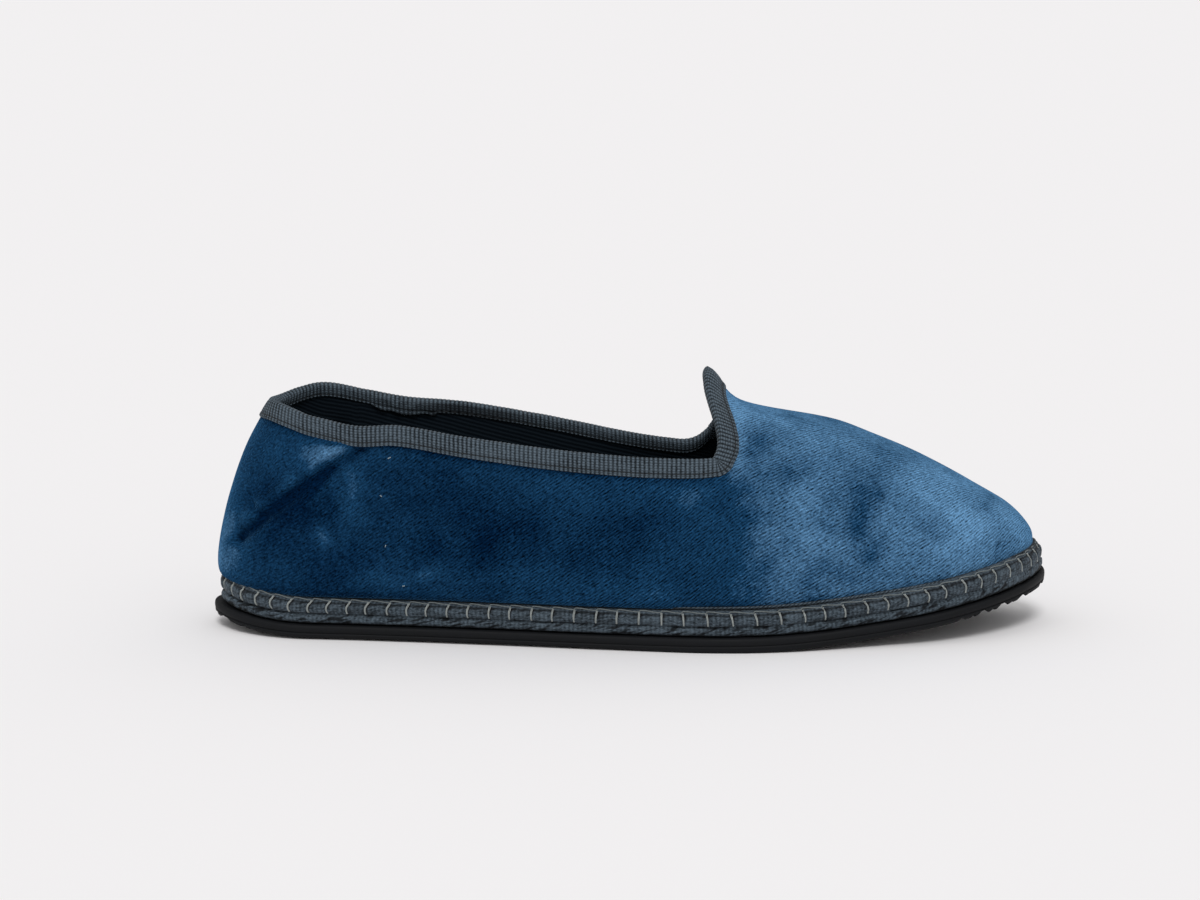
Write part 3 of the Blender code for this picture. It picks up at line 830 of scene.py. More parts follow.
def cloth_uv(points, steps):
    """UV of a grid: running sums of steps along it, and the way across each of its columns."""
    across = np.linalg.norm(np.diff(points, axis=1), axis=2)
    v = np.concatenate([np.zeros((len(points), 1)), np.cumsum(across, axis=1)], axis=1)
    return np.stack([np.broadcast_to(sums(steps)[:, None], v.shape), v], axis=-1)


def grid_uv(points):
    """UV of a grid with the mean lengths along it, which follow the cloth."""
    return cloth_uv(points, np.linalg.norm(np.diff(points, axis=0), axis=2).mean(axis=1))


def add_node(tree, kind, inputs=None, **settings):
    """A node with its settings; an input takes a value or another node's output."""
    made = tree.nodes.new(kind)
    for key, value in settings.items():
        setattr(made, key, value)
    for key, value in (inputs or {}).items():
        if isinstance(value, bpy.types.NodeSocket):
            tree.links.new(value, made.inputs[key])
        else:
            made.inputs[key].default_value = value
    return made


def maths(tree, operation, first, second=0.0, clamp=False):
    return add_node(
        tree, "ShaderNodeMath", {0: first, 1: second}, operation=operation, use_clamp=clamp
    ).outputs[0]


def blend_colours(tree, share, first, second, kind="MIX"):
    made = add_node(
        tree, "ShaderNodeMix", {0: share, 6: first, 7: second}, data_type="RGBA", blend_type=kind
    )
    return made.outputs[2]


def between(tree, value, low, high, to_low=0.0, to_high=1.0):
    """A value mapped from one range to another, held at its ends."""
    inputs = {"Value": value, "From Min": low, "From Max": high, "To Min": to_low, "To Max": to_high}
    return add_node(tree, "ShaderNodeMapRange", inputs).outputs["Result"]


def cloth_map(tree, turn=0.0):
    """The piece's own UV in millimetres, turned by an angle."""
    uv = add_node(tree, "ShaderNodeUVMap", uv_map="cloth").outputs["UV"]
    inputs = {"Vector": uv, "Rotation": (0, 0, turn), "Scale": (1 / MM, 1 / MM, 1 / MM)}
    return add_node(tree, "ShaderNodeMapping", inputs).outputs["Vector"]


def swing(tree, value, reach, spread=0.2):
    """A noise round 0.5 mapped round 0: its spread becomes the reach either way."""
    return between(tree, value, 0.5 - spread, 0.5 + spread, -reach, reach)


def bands(tree, vector, pitch, distortion=0.0, detail=1.0):
    """Soft bands across the vector's X with a pitch in its own unit."""
    inputs = {"Vector": vector, "Scale": math.pi / 10 / pitch, "Distortion": distortion, "Detail": detail}
    made = add_node(tree, "ShaderNodeTexWave", inputs, wave_type="BANDS", bands_direction="X")
    return made.outputs["Fac"]


def speckle(tree, vector, scale, detail=2.0, roughness=0.5):
    inputs = {"Vector": vector, "Scale": scale, "Detail": detail, "Roughness": roughness}
    return add_node(tree, "ShaderNodeTexNoise", inputs).outputs["Fac"]


def stretched(tree, vector, x, y):
    """A vector with its X and Y scaled, to draw out a pattern."""
    return add_node(tree, "ShaderNodeMapping", {"Vector": vector, "Scale": (x, y, 1)}).outputs["Vector"]


def new_material(name, **sockets):
    """A Principled material; the sockets given are the same all over the surface."""
    titles = {key: key.replace("_", " ").title().replace("Ior", "IOR") for key in sockets}
    material = bpy.data.materials.new(name)
    material.use_nodes = True
    shader = material.node_tree.nodes["Principled BSDF"]
    for key, value in sockets.items():
        shader.inputs[titles[key]].default_value = value
    return material, material.node_tree, shader


def finish_surface(tree, shader, colour, roughness, height, depth, strength=1.0):
    """Links colour, roughness and a bump of a depth in millimetres to the shader."""
    bump = add_node(
        tree, "ShaderNodeBump", {"Height": height, "Distance": depth * MM, "Strength": strength}
    )
    tree.links.new(colour, shader.inputs["Base Color"])
    tree.links.new(roughness, shader.inputs["Roughness"])
    tree.links.new(bump.outputs["Normal"], shader.inputs["Normal"])


def opaque(colour):
    return (*colour, 1.0)


def object_map(tree):
    """Object coordinates in millimetres."""
    place = add_node(tree, "ShaderNodeTexCoord").outputs["Object"]
    inputs = {"Vector": place, "Scale": (1 / MM, 1 / MM, 1 / MM)}
    return add_node(tree, "ShaderNodeMapping", inputs).outputs["Vector"]


def velvet_material():
    """Velvet: a deep pile whose nap is painted lighter or darker as the light and shade it takes, with fine
    broken diagonal lines.
    """
    sizes, colours = settings()
    material, tree, shader = new_material(
        "velvet",
        sheen_weight=0.4,
        sheen_roughness=0.3,
        sheen_tint=opaque(colours.velvet_sheen),
        specular_ior_level=0.0,
    )
    cloth = cloth_map(tree, sizes.pile_turn)
    place = object_map(tree)
    along_shoe = add_node(tree, "ShaderNodeSeparateXYZ", {"Vector": place}).outputs["X"]
    lines = bands(tree, cloth, sizes.pile_pitch / MM, distortion=2.6, detail=2.0)
    breaks = speckle(tree, stretched(tree, cloth, 1.0, 0.6), scale=1.0)
    breaks = between(tree, breaks, 0.35, 0.65, to_low=0.05, to_high=1.1)
    clear = between(tree, along_shoe, LINES_FAINT, LINES_CLEAR, to_low=0.25)
    strokes = speckle(tree, stretched(tree, cloth, 1.6, 0.6), scale=1.0, detail=3.0, roughness=0.6)
    fuzz = speckle(tree, place, scale=1.5, roughness=0.7)
    clouds = speckle(tree, place, scale=0.06, detail=4.0, roughness=0.65)
    breaks = maths(tree, "MULTIPLY", breaks, clear)
    pile = maths(tree, "MULTIPLY", maths(tree, "SUBTRACT", lines, 0.5), breaks)
    pile = maths(tree, "ADD", pile, swing(tree, strokes, reach=0.35))
    pile = maths(tree, "ADD", pile, swing(tree, fuzz, reach=0.45, spread=0.3))
    # Painted light of the velvet: highlights and shade of the nap, shade in the folds, along the band and
    # under the tape
    nap = add_node(tree, "ShaderNodeAttribute", attribute_name="nap").outputs["Fac"]
    shade = maths(tree, "ADD", nap, swing(tree, clouds, reach=0.12))
    shade = maths(tree, "ADD", shade, maths(tree, "MULTIPLY", pile, 0.1), clamp=True)
    dark = blend_colours(
        tree, between(tree, shade, 0.0, 0.5), opaque(colours.velvet_painted_shade), opaque(colours.velvet)
    )
    colour = blend_colours(tree, between(tree, shade, 0.5, 1.0), dark, opaque(colours.velvet_painted_light))
    grain = maths(tree, "MULTIPLY", pile, between(tree, shade, 0.1, 0.8, to_low=1.55, to_high=0.95))
    grain = maths(tree, "MAXIMUM", maths(tree, "ADD", grain, 1.0), 0.1)
    colour = blend_colours(tree, 1.0, colour, grain, "MULTIPLY")
    roughness = between(tree, pile, -0.5, 0.5, to_low=1.0, to_high=0.85)
    finish_surface(tree, shader, colour, roughness, pile, depth=0.35, strength=0.7)
    return material


def lining_material():
    """Dark twill lining with faint diagonal lines."""
    _, colours = settings()
    material, tree, shader = new_material("lining", specular_ior_level=0.04)
    lines = bands(tree, cloth_map(tree, TWILL_TURN), TWILL_PITCH, distortion=0.6)
    fuzz = speckle(tree, object_map(tree), scale=1.2, detail=3.0)
    weave = maths(tree, "ADD", lines, maths(tree, "MULTIPLY", fuzz, 0.5))
    colour = blend_colours(
        tree, between(tree, weave, 0.3, 1.3), opaque(colours.lining), opaque(colours.lining_thread)
    )
    roughness = between(tree, weave, 0.2, 1.3, to_low=0.95, to_high=0.75)
    finish_surface(tree, shader, colour, roughness, weave, depth=0.15, strength=0.6)
    return material


def tape_material(name, rib_share, crumple_share):
    """Grosgrain tape: ribs crossed by fine threads, crumpled where it is gathered, with shade painted in its
    creases.
    """
    sizes, colours = settings()
    material, tree, shader = new_material(
        name, sheen_weight=0.05, sheen_roughness=0.5, specular_ior_level=0.15
    )
    cloth = cloth_map(tree)
    place = object_map(tree)
    pitch = sizes.rib_pitch / MM
    rib = bands(tree, cloth, pitch, distortion=0.3)
    cross = bands(tree, cloth_map(tree, math.pi / 2), pitch * 0.6, distortion=0.6)
    crumple = speckle(tree, stretched(tree, cloth, 0.5, 1.4), scale=1.0, detail=4.0, roughness=0.65)
    fuzz = speckle(tree, place, scale=1.6, detail=3.0, roughness=0.6)
    wear = speckle(tree, place, scale=0.09, detail=3.0, roughness=0.55)
    weave = maths(tree, "MULTIPLY", rib, between(tree, cross, 0.0, 1.0, 0.3 * rib_share, rib_share))
    relief = maths(tree, "ADD", weave, between(tree, crumple, 0.3, 0.7, 0.0, crumple_share))
    shade = maths(tree, "ADD", relief, swing(tree, fuzz, reach=0.22))
    shade = maths(tree, "ADD", shade, swing(tree, wear, reach=0.12), clamp=True)
    # Colour by the relief: the weave's pattern, with shade painted in its hollows and crumples
    colour = blend_colours(tree, shade, opaque(colours.tape_dark), opaque(colours.tape_light))
    # Painted shade in the tape's creases, grooves, gaps and hidden faces
    crease = add_node(tree, "ShaderNodeAttribute", attribute_name="crease").outputs["Fac"]
    colour = blend_colours(tree, crease, colour, opaque(colours.tape_painted_shade))
    roughness = between(tree, shade, 0.0, 1.0, to_low=0.9, to_high=0.65)
    finish_surface(tree, shader, colour, roughness, relief, depth=0.22, strength=0.7)
    return material


def thread_material(name, colour):
    """Twisted thread."""
    material, tree, shader = new_material(name, sheen_weight=0.1, specular_ior_level=0.3)
    place = object_map(tree)
    twist = bands(tree, place, pitch=0.45, distortion=1.0)
    fuzz = speckle(tree, place, scale=1.4, detail=3.0)
    shade = maths(tree, "ADD", maths(tree, "MULTIPLY", twist, 0.4), maths(tree, "MULTIPLY", fuzz, 0.6))
    dull = tuple(value * 0.5 for value in colour)
    mixed = blend_colours(tree, between(tree, shade, 0.2, 0.8), opaque(dull), opaque(colour))
    roughness = between(tree, shade, 0.2, 0.8, to_low=0.8, to_high=0.55)
    finish_surface(tree, shader, mixed, roughness, shade, depth=0.12, strength=0.6)
    return material


def rubber_material():
    """Moulded black rubber, a little dusty."""
    _, colours = settings()
    material, tree, shader = new_material("rubber", specular_ior_level=0.18)
    place = object_map(tree)
    grain = speckle(tree, place, scale=1.5, detail=3.0, roughness=0.6)
    dust = speckle(tree, place, scale=0.07, detail=4.0, roughness=0.6)
    shade = maths(tree, "ADD", between(tree, dust, 0.35, 0.7), swing(tree, grain, reach=0.2))
    colour = blend_colours(
        tree, maths(tree, "MAXIMUM", shade, 0.0), opaque(colours.rubber), opaque(colours.rubber_dust)
    )
    roughness = between(tree, dust, 0.3, 0.7, to_low=0.55, to_high=0.75)
    finish_surface(tree, shader, colour, roughness, grain, depth=0.08, strength=0.5)
    return material


def floor_material():
    """Plain pale floor."""
    _, colours = settings()
    return new_material(
        "floor", base_color=opaque(colours.floor), roughness=0.9, specular_ior_level=0.0
    )[0]


# Painted light of the nap along the shoe, from the heel to the toe: a painted rim highlight at the back of
# the heel, painted shade over the heel and waist, painted highlight on the vamp and toe
PAINTED_LIGHT_ALONG = table(
    "x light",
    (-131, 0.50),
    (-127, 0.38),
    (-118, 0.26),
    (-100, 0.16),
    (-60, 0.20),
    (-20, 0.24),
    (14, 0.30),
    (32, 0.46),
    (44, 0.66),
    (70, 0.70),
    (100, 0.80),
    (130, 0.86),
)
# Patches of painted highlight and shade on the nap: middle (x, height), half sizes along a tilted axis
# and across it, the tilt, and how much lighter or darker the pile is painted there
PAINTED_NAP_PATCHES = table(
    "side x height long wide tilt light",
    (-1, -97.5, 57.5, 13.0, 6.5, 5, 0.40),
    (-1, -91.0, 56.5, 6.0, 2.5, 30, 0.16),
    (-1, -98.0, 48.0, 15.0, 2.2, 38, -0.22),
    (-1, -106.0, 40.0, 12.0, 5.0, 20, -0.16),
    (-1, -87.0, 44.0, 11.0, 3.2, 84, 0.42),
    (-1, -95.7, 33.0, 4.0, 2.6, 20, 0.36),
    (-1, -125.5, 25.5, 7.0, 5.0, 40, 0.26),
    (-1, -127.0, 34.0, 12.0, 3.0, 80, 0.22),
    (-1, -112.0, 58.0, 8.0, 4.0, 60, 0.12),
    (-1, -76.0, 20.0, 8.0, 3.0, 10, 0.30),
    (-1, -63.0, 22.0, 7.0, 4.0, 0, 0.36),
    (-1, -66.0, 24.0, 2.0, 1.6, 0, -0.22),
    (-1, -36.0, 15.5, 26.0, 2.2, 0, 0.30),
    (-1, -8.0, 18.5, 34.0, 5.0, 0, 0.16),
    (-1, -40.0, 31.5, 14.0, 6.0, 10, -0.14),
    (-1, 4.0, 38.0, 12.0, 6.0, 20, -0.14),
    (-1, -18.0, 31.0, 9.0, 5.0, 0, -0.08),
    (-1, -20.0, 50.0, 22.0, 4.0, -6, 0.16),
    (-1, 12.0, 49.0, 12.0, 4.0, 0, 0.18),
    (-1, -66.0, 40.0, 14.0, 10.0, 30, -0.04),
    (-1, 31.5, 71.5, 10.0, 5.5, -66, 0.68),
    (-1, 45.0, 70.5, 14.0, 2.6, -14, 0.26),
    (-1, 32.0, 57.0, 7.0, 2.6, 62, 0.30),
    (-1, 40.0, 61.5, 5.0, 3.0, -20, -0.04),
    (-1, 43.0, 53.0, 9.0, 5.0, -32, -0.08),
    (-1, 52.0, 45.0, 9.0, 3.0, -20, 0.12),
    (-1, 55.0, 34.0, 8.0, 4.0, -30, 0.18),
    (-1, 70.0, 39.0, 11.0, 6.5, 50, -0.20),
    (-1, 75.0, 31.0, 5.0, 3.0, 20, -0.14),
    (-1, 62.0, 60.0, 14.0, 4.0, -12, 0.05),
    (-1, 80.0, 57.5, 4.0, 3.0, 0, -0.12),
    (-1, 95.0, 43.0, 16.0, 5.0, -28, 0.20),
    (-1, 105.0, 34.0, 5.0, 3.5, -30, 0.18),
    (-1, 111.5, 39.5, 3.0, 1.8, -20, -0.18),
    (-1, 96.0, 28.5, 9.0, 3.0, -8, 0.14),
    (-1, 66.0, 22.0, 16.0, 3.0, -5, -0.08),
    (1, -104.0, 57.0, 12.0, 5.0, 35, 0.30),
    (1, -98.0, 46.0, 14.0, 2.6, 40, -0.20),
    (1, -120.0, 27.0, 9.0, 4.0, 10, 0.26),
    (1, -60.0, 40.0, 24.0, 12.0, 10, 0.14),
    (1, -30.0, 18.0, 30.0, 3.0, 0, 0.22),
    (1, -10.0, 36.0, 26.0, 8.0, -15, -0.12),
    (1, 36.0, 72.0, 8.0, 4.5, -30, 0.40),
    (1, 42.0, 52.0, 9.0, 5.0, -30, -0.18),
    (1, 72.0, 38.0, 12.0, 6.0, 40, -0.22),
    (1, 62.0, 60.0, 14.0, 4.0, -12, 0.12),
    (1, 100.0, 38.0, 20.0, 7.0, -30, 0.18),
)
# How far soft noise moves the patches' edges, and its size
NAP_SEEDS = (21, 31)
NAP_WARPS = table("size reach", (16.0, 5.0), (6.0, 2.2))
# How far from the middle of the shoe a side's patches fade out
NAP_BLEND = 6.0
NAP_MOTTLE = named("light size seed", 0.06, 9.0, 1)


def last_place(side, x, height):
    """Station and angle of the last's point at a distance along the shoe and a height over the floor."""
    stations = np.linspace(0.0, 1.0, OUTLINE_STEPS)
    floor = FEATHER_BASE + spring(sole_edge(stations, side, FEATHER_INSET)[0])
    angles = angle_at(np.maximum(height - floor, 0), stations, side)
    nearest = np.argmin(np.abs(wall_point(stations, side, angles)[:, 0] - x))
    return stations[nearest], angles[nearest]


def nap_warp(points):
    """How far soft noise moves the nap's patches along the shoe and up."""
    moves = np.zeros((*points.shape[:-1], 2))
    for number, warp in enumerate(NAP_WARPS):
        for axis, seed in enumerate(NAP_SEEDS):
            moves[..., axis] += warp.reach * cloth_noise(points, warp.size, seed + number)
    return moves


def painted_light_of(points):
    """Painted light and shade of the pile at points of the upper, from 0 to 1, with a little random mottle.
    """
    moved = points[..., ::2] + nap_warp(points)
    nap = np.interp(moved[..., 0], column(PAINTED_LIGHT_ALONG, "x"), column(PAINTED_LIGHT_ALONG, "light"))
    for row in PAINTED_NAP_PATCHES:
        turn = math.radians(row.tilt)
        station, angle = last_place(row.side, row.x, row.height)
        middle = np.array([row.x, row.height]) + nap_warp(wall_point(station, row.side, angle))
        dx, dz = np.moveaxis(moved - middle, -1, 0)
        long = (dx * math.cos(turn) + dz * math.sin(turn)) / row.long
        wide = (-dx * math.sin(turn) + dz * math.cos(turn)) / row.wide
        here = smooth(row.side * (points[..., 1] - axis_y(station)), -NAP_BLEND, NAP_BLEND)
        nap = nap + row.light * here * np.exp(-(long**2) - wide**2)
    return nap + NAP_MOTTLE.light * cloth_noise(points, NAP_MOTTLE.size, NAP_MOTTLE.seed)


def upper_shape(places):
    """Outer face, inner face and painted light of a stretch of the upper: the nap's and folds' painted
    highlights and shade, painted shade above the band and painted shadow below the tape.
    """
    station, side, angle = places
    outer = wall_point(station, side, angle)
    normal = wall_normal(station, side, angle)
    out, light, fade = fold_depth(station, side, outer)
    soft = sum(wave.height * cloth_noise(outer, wave.size, wave.seed) for wave in WAVES)
    move = ((out + soft) * fade)[..., None] * normal
    rise = outer[..., 2] - FEATHER_BASE - spring(outer[..., 0])
    lean = rise / OVERHANG_HEIGHT
    roll = lean * np.exp(1 - lean) * (1 - smooth(station, *OVERHANG_END))
    hang = roll[..., None] * (unit(normal * (1, 1, 0)) * OVERHANG_OUT - np.array([0, 0, OVERHANG_DROP]))
    # Painted shade on the velvet just above the band, where it overhangs
    painted_hem_shade = HEM_SHADE * hump(rise, HEM_HEIGHT) * (1 - HEM_EASE * smooth(station, *HEM_END))
    below = by_side(COLLAR, "lateral", "medial", station, side) - BINDING_LEG - outer[..., 2]
    # Painted shadow below the collar's tape, behind the throat
    shade = TAPE_SHADE * hump(below, TAPE_SHADE_HEIGHT) * (station < THROAT_STATION)
    return outer + move + hang, outer - normal * WALL + move, painted_light_of(outer) + light * fade - painted_hem_shade - shade


# Specks of lint in the velvet of the lateral heel: place, length and turn
LINT = table(
    "x height length turn",
    (-74.7, 56.9, 1.0, 25),
    (-77.3, 45.2, 0.5, -40),
    (-76.0, 30.1, 0.6, 70),
    (-70.1, 18.5, 0.6, 10),
)
# Points along a speck, and how far its middle stands off and its ends bend back
LINT_POINTS = 5
LINT_LIFT = 0.2
LINT_BEND = 0.6


def make_lint():
    """Specks of lint caught in the velvet near the heel."""
    sizes, colours = settings()
    paths = []
    for row in LINT:
        station, angle = last_place(-1.0, row.x, row.height)
        where = [np.array([[value]]) for value in (station, -1.0, angle)]
        middle = upper_shape(where)[0][0, 0]
        turn = math.radians(row.turn)
        way = np.array([math.cos(turn), 0.0, math.sin(turn)])
        share = np.linspace(-0.5, 0.5, LINT_POINTS)[:, None]
        lift = wall_normal(*where)[0, 0] * (LINT_LIFT - LINT_BEND * share**2)
        paths.append(middle + way * share * row.length + lift)
    return make_thread("lint", paths, sizes.lint / MM / 2, thread_material("lint", colours.lint), FINE_SIDES)


def make_upper():
    """Velvet shell with its lining, open at the collar and underneath."""
    velvet, lining = 0, 1
    patch = Patchwork()
    outer, inner, nap = upper_shape(side_places())
    middle = len(outer) // 2
    uv = grid_uv(outer)
    uv[..., 0] -= uv[middle, 0, 0]
    wall = patch.grid(outer, uv, velvet, flip=True, mark=nap)
    back = patch.grid(inner, uv, lining)
    for row in (0, -1):
        patch.strip(wall[:, row], back[:, row], velvet)
    outer, inner, nap = upper_shape(vamp_places())
    vamp_uv = grid_uv(outer)
    ahead = vamp_uv[..., 0]
    begun = np.minimum(ahead, PILE_SHEAR_RUN)
    vamp_uv[..., 1] += PILE_SHEAR * (begun**2 / (2 * PILE_SHEAR_RUN) + ahead - begun)
    vamp_uv[..., 0] = uv[0, 0, 0] - ahead
    top = patch.grid(outer, vamp_uv, velvet, mark=nap)
    under = patch.grid(inner, vamp_uv, lining, flip=True)
    for row in (0, -1):
        patch.strip(top[:, row], under[:, row], velvet)
    collar = slice(LOWER_ROWS + BINDING_ROWS, -LOWER_ROWS - BINDING_ROWS)
    patch.strip(top[0, collar], under[0, collar], velvet)
    half = len(top[-1]) // 2
    for toe, finish in ((top[-1], velvet), (under[-1], lining)):
        patch.strip(toe[: half + 1], toe[: half - 1 : -1], finish)
    return patch.make("velvet_upper", [velvet_material(), lining_material()])


def edge_stations(side, count, uneven=0.0, seed=0):
    """Stations at equal steps round one side of the sole, heel to toe; whole steps may be uneven."""
    dense = 0.5 - 0.5 * np.cos(np.linspace(0.0, math.pi, OUTLINE_STEPS))
    run = edge_run(dense, side, FEATHER_INSET / 2)
    steps = np.arange(BAND_STITCHES + 1.0)
    steps[1:-1] += uneven * np.random.default_rng(seed).uniform(-1, 1, BAND_STITCHES - 1)
    stitches = np.interp(np.linspace(0, BAND_STITCHES, count + 1), np.arange(BAND_STITCHES + 1), steps)
    shares = np.interp(stitches, column(STITCH_STEPS, "stitch"), column(STITCH_STEPS, "share"))
    return np.interp(shares * run[-1], run, dense)


def edge_loop(count, uneven=0.0):
    """Stations and sides of a closed loop round the sole: lateral heel to toe, then medial back."""
    lateral = edge_stations(-1, count, uneven, seed=1)
    medial = edge_stations(1, count, uneven, seed=2)
    stations = np.concatenate([lateral, medial[-2:0:-1]])
    sides = np.concatenate([-np.ones(count + 1), np.ones(count - 1)])
    return stations, sides


def layer_side(edge, base, stations, sides, tuck=0.0):
    """Grid of a layer's side: a column for each station of the loop, a row for each row of the table."""
    x, y = sole_edge(stations[:, None], sides[:, None], column(edge, "inset") + tuck)
    return np.stack([x, y, base + column(edge, "height") + spring(x)], axis=-1)


def loop_normals(points):
    """Outward normals of a grid whose columns close into a loop, lateral side first."""
    ahead = np.roll(points, -1, axis=0) - np.roll(points, 1, axis=0)
    upward = np.gradient(points, axis=1)
    return unit(np.cross(ahead, upward))


def cap_grid(ring, rows):
    """Grid across a loop of points, from each lateral point to the medial one opposite."""
    half = len(ring) // 2
    lateral = ring[: half + 1]
    medial = np.concatenate([ring[:1], ring[: half - 1 : -1]])
    share = np.linspace(0.0, 1.0, rows + 1)[None, :, None]
    return lateral[:, None] * (1 - share) + medial[:, None] * share


def loop_uv(points):
    """UV of a loop's grid, with the way round along its middle row."""
    middle = points[:, points.shape[1] // 2]
    return cloth_uv(points, np.linalg.norm(np.diff(middle, axis=0), axis=1))


def finer_rows(edge, count):
    """An edge's table with more rows."""
    places = np.linspace(0, len(edge) - 1, count)
    columns = [np.interp(places, np.arange(len(edge)), column(edge, name)) for name in ("inset", "height")]
    return table("inset height", *zip(*columns))


BAND_SIDE = finer_rows(BAND_EDGE, BAND_ROWS)
BAND_HEIGHTS = column(BAND_SIDE, "height")
TOP_ROW = np.searchsorted(BAND_HEIGHTS, STITCH_TOP)


def band_loop():
    """Stations and sides of the band's columns, whose stitches are a little uneven."""
    return edge_loop(BAND_STITCHES * BAND_SAMPLES, STITCH_UNEVEN)


def stitch_lean(stations, height):
    """How far a stitch lies ahead of its middle, at heights up the band."""
    share = np.clip((STITCH_TOP - height) / (STITCH_TOP - STITCH_FOOT), 0, 1)
    top, foot = along(BAND, "top", stations), along(BAND, "foot", stations)
    return top[:, None] * (1 - share) ** 2 + foot[:, None] * share**2


def stitch_phase(count, lean):
    """Share of the way from one blanket stitch to the next, for columns of the band and a lean in columns."""
    return (np.arange(count)[:, None] - FIRST_STITCH - lean) % BAND_SAMPLES / BAND_SAMPLES


def band_noise(run, height, streak):
    """Noise on the band in streaks."""
    cosine, sine = math.cos(streak.turn), math.sin(streak.turn)
    ahead = (run * cosine + height * sine) / streak.long
    across = (height * cosine - run * sine) / streak.wide
    places = np.stack(np.broadcast_arrays(ahead, across, run / STREAK_RUN), axis=-1)
    return cloth_noise(places, 1.0, streak.seed)


def band_side(stations, sides, toe):
    """Side of the band before it is stitched, for a share of the toe's shape at each station."""
    tuck = HEEL_TUCK * (1 - smooth(stations, 0.0, HEEL_TUCK_END))[:, None]
    lean = (BAND_HEIGHTS / MIDSOLE_THICK) ** 2
    tuck = tuck + TOE_LEAN * smooth(stations, TOE_LEAN_START, 1.0)[:, None] * lean
    tuck = tuck - TOE_FILL * toe * hump(BAND_HEIGHTS - GROOVE_HEIGHT, GROOVE_REACH)
    points = layer_side(BAND_SIDE, MIDSOLE_BASE, stations, sides, tuck)
    inside = smooth(column(BAND_SIDE, "inset"), BAND_RIM, BAND_RIM + RIM_SOFT)
    rise = along(BAND, "rise", stations)[:, None] * (1 - inside)
    points[..., 2] += rise * BAND_HEIGHTS / MIDSOLE_THICK
    return points


def band_grid():
    """Side of the stitched band, its normals and the shade painted in its creases: pillows above, wrinkles
    and a roll below.
    """
    sizes, _ = settings()
    stations, sides = band_loop()
    height = BAND_HEIGHTS[None, :]
    toe = smooth(stations, *TOE_START)[:, None]
    points = band_side(stations, sides, toe)
    normals = loop_normals(points)
    run = loop_uv(points)[:, :1, 0]
    step = run[-1] / (len(run) - 1)
    phase = stitch_phase(len(points), stitch_lean(stations, height) / step)
    pillow = 1 - np.abs(2 * phase - 1) ** PILLOW.power
    calm = smooth(np.minimum(run, run[-1] - run), 0, CALM_RUN)
    strokes = calm * band_noise(run, height, STROKES)
    lumps = calm * band_noise(run, height, LUMPS)
    sag = calm * band_noise(run, 0 * height, SAG)
    upper = zone(height, *PILLOW_ZONE)
    lower = zone(height, *ROLL_ZONE)
    under_thread = hump(height - STITCH_TOP - THREAD_DENT.middle, THREAD_DENT.reach)
    beside = hump(phase - BESIDE_DENT.middle, BESIDE_DENT.reach) * zone(height, *BESIDE_ZONE)
    line = FOOT_DENT.middle + FOOT_LINE.sag * sag + FOOT_LINE.pillow * pillow
    foot = hump(height - line, FOOT_DENT.reach) * np.clip(FOOT_LINE.lumps + lumps, 0, 1)
    foot = foot * (1 - FOOT_LINE.toe * toe)
    swell = pillow * (PILLOW.full + PILLOW.lumps * lumps) - PILLOW.sunk
    out = upper * (sizes.pillow / MM * swell + PILLOW.strokes * strokes)
    out = out + lower * (ROLL.strokes * strokes + ROLL.lumps * lumps)
    crease = upper * PILLOW.dark * (1 - pillow)
    for share, dent in ((under_thread, THREAD_DENT), (beside, BESIDE_DENT), (foot, FOOT_DENT)):
        out = out - dent.depth * share
        crease = crease + dent.dark * share
    hollow = smooth(-strokes, STROKE_SHADE.low, STROKE_SHADE.high)
    crease = crease + (lower + STROKE_SHADE.upper * upper) * STROKE_SHADE.dark * hollow
    gap = 1 - smooth(height - GAP_SHADE.toe_rise * toe, GAP_SHADE.low, GAP_SHADE.high)
    crease = crease + (GAP_SHADE.dark + GAP_SHADE.toe_dark * toe) * gap * (height < STITCH_FOOT)
    # Rows tucked in behind the rim are painted fully dark, as shade
    crease = np.where(column(BAND_SIDE, "inset") > BAND_RIM, 1.0, crease)
    return points + normals * out[..., None], normals, np.clip(crease, 0, DARKEST)


def make_band():
    """Tape band round the midsole's edge."""
    points, _, crease = band_grid()
    uv = loop_uv(points)
    top = uv[:, TOP_ROW, 1]
    uv[..., 0] += LIP_SLANT * np.maximum(uv[..., 1] - top[:, None], 0)
    patch = Patchwork()
    patch.grid(points, uv, 0, closed=True, mark=crease)
    for row in (0, -1):
        cap = cap_grid(points[:, row], CAP_ROWS)
        # The band's caps are painted darkest, as shade
        patch.grid(cap, cap[..., :2], 0, mark=DARKEST)
    return patch.make("sole_band", [tape_material("band_tape", rib_share=0.35, crumple_share=0.7)], "crease")


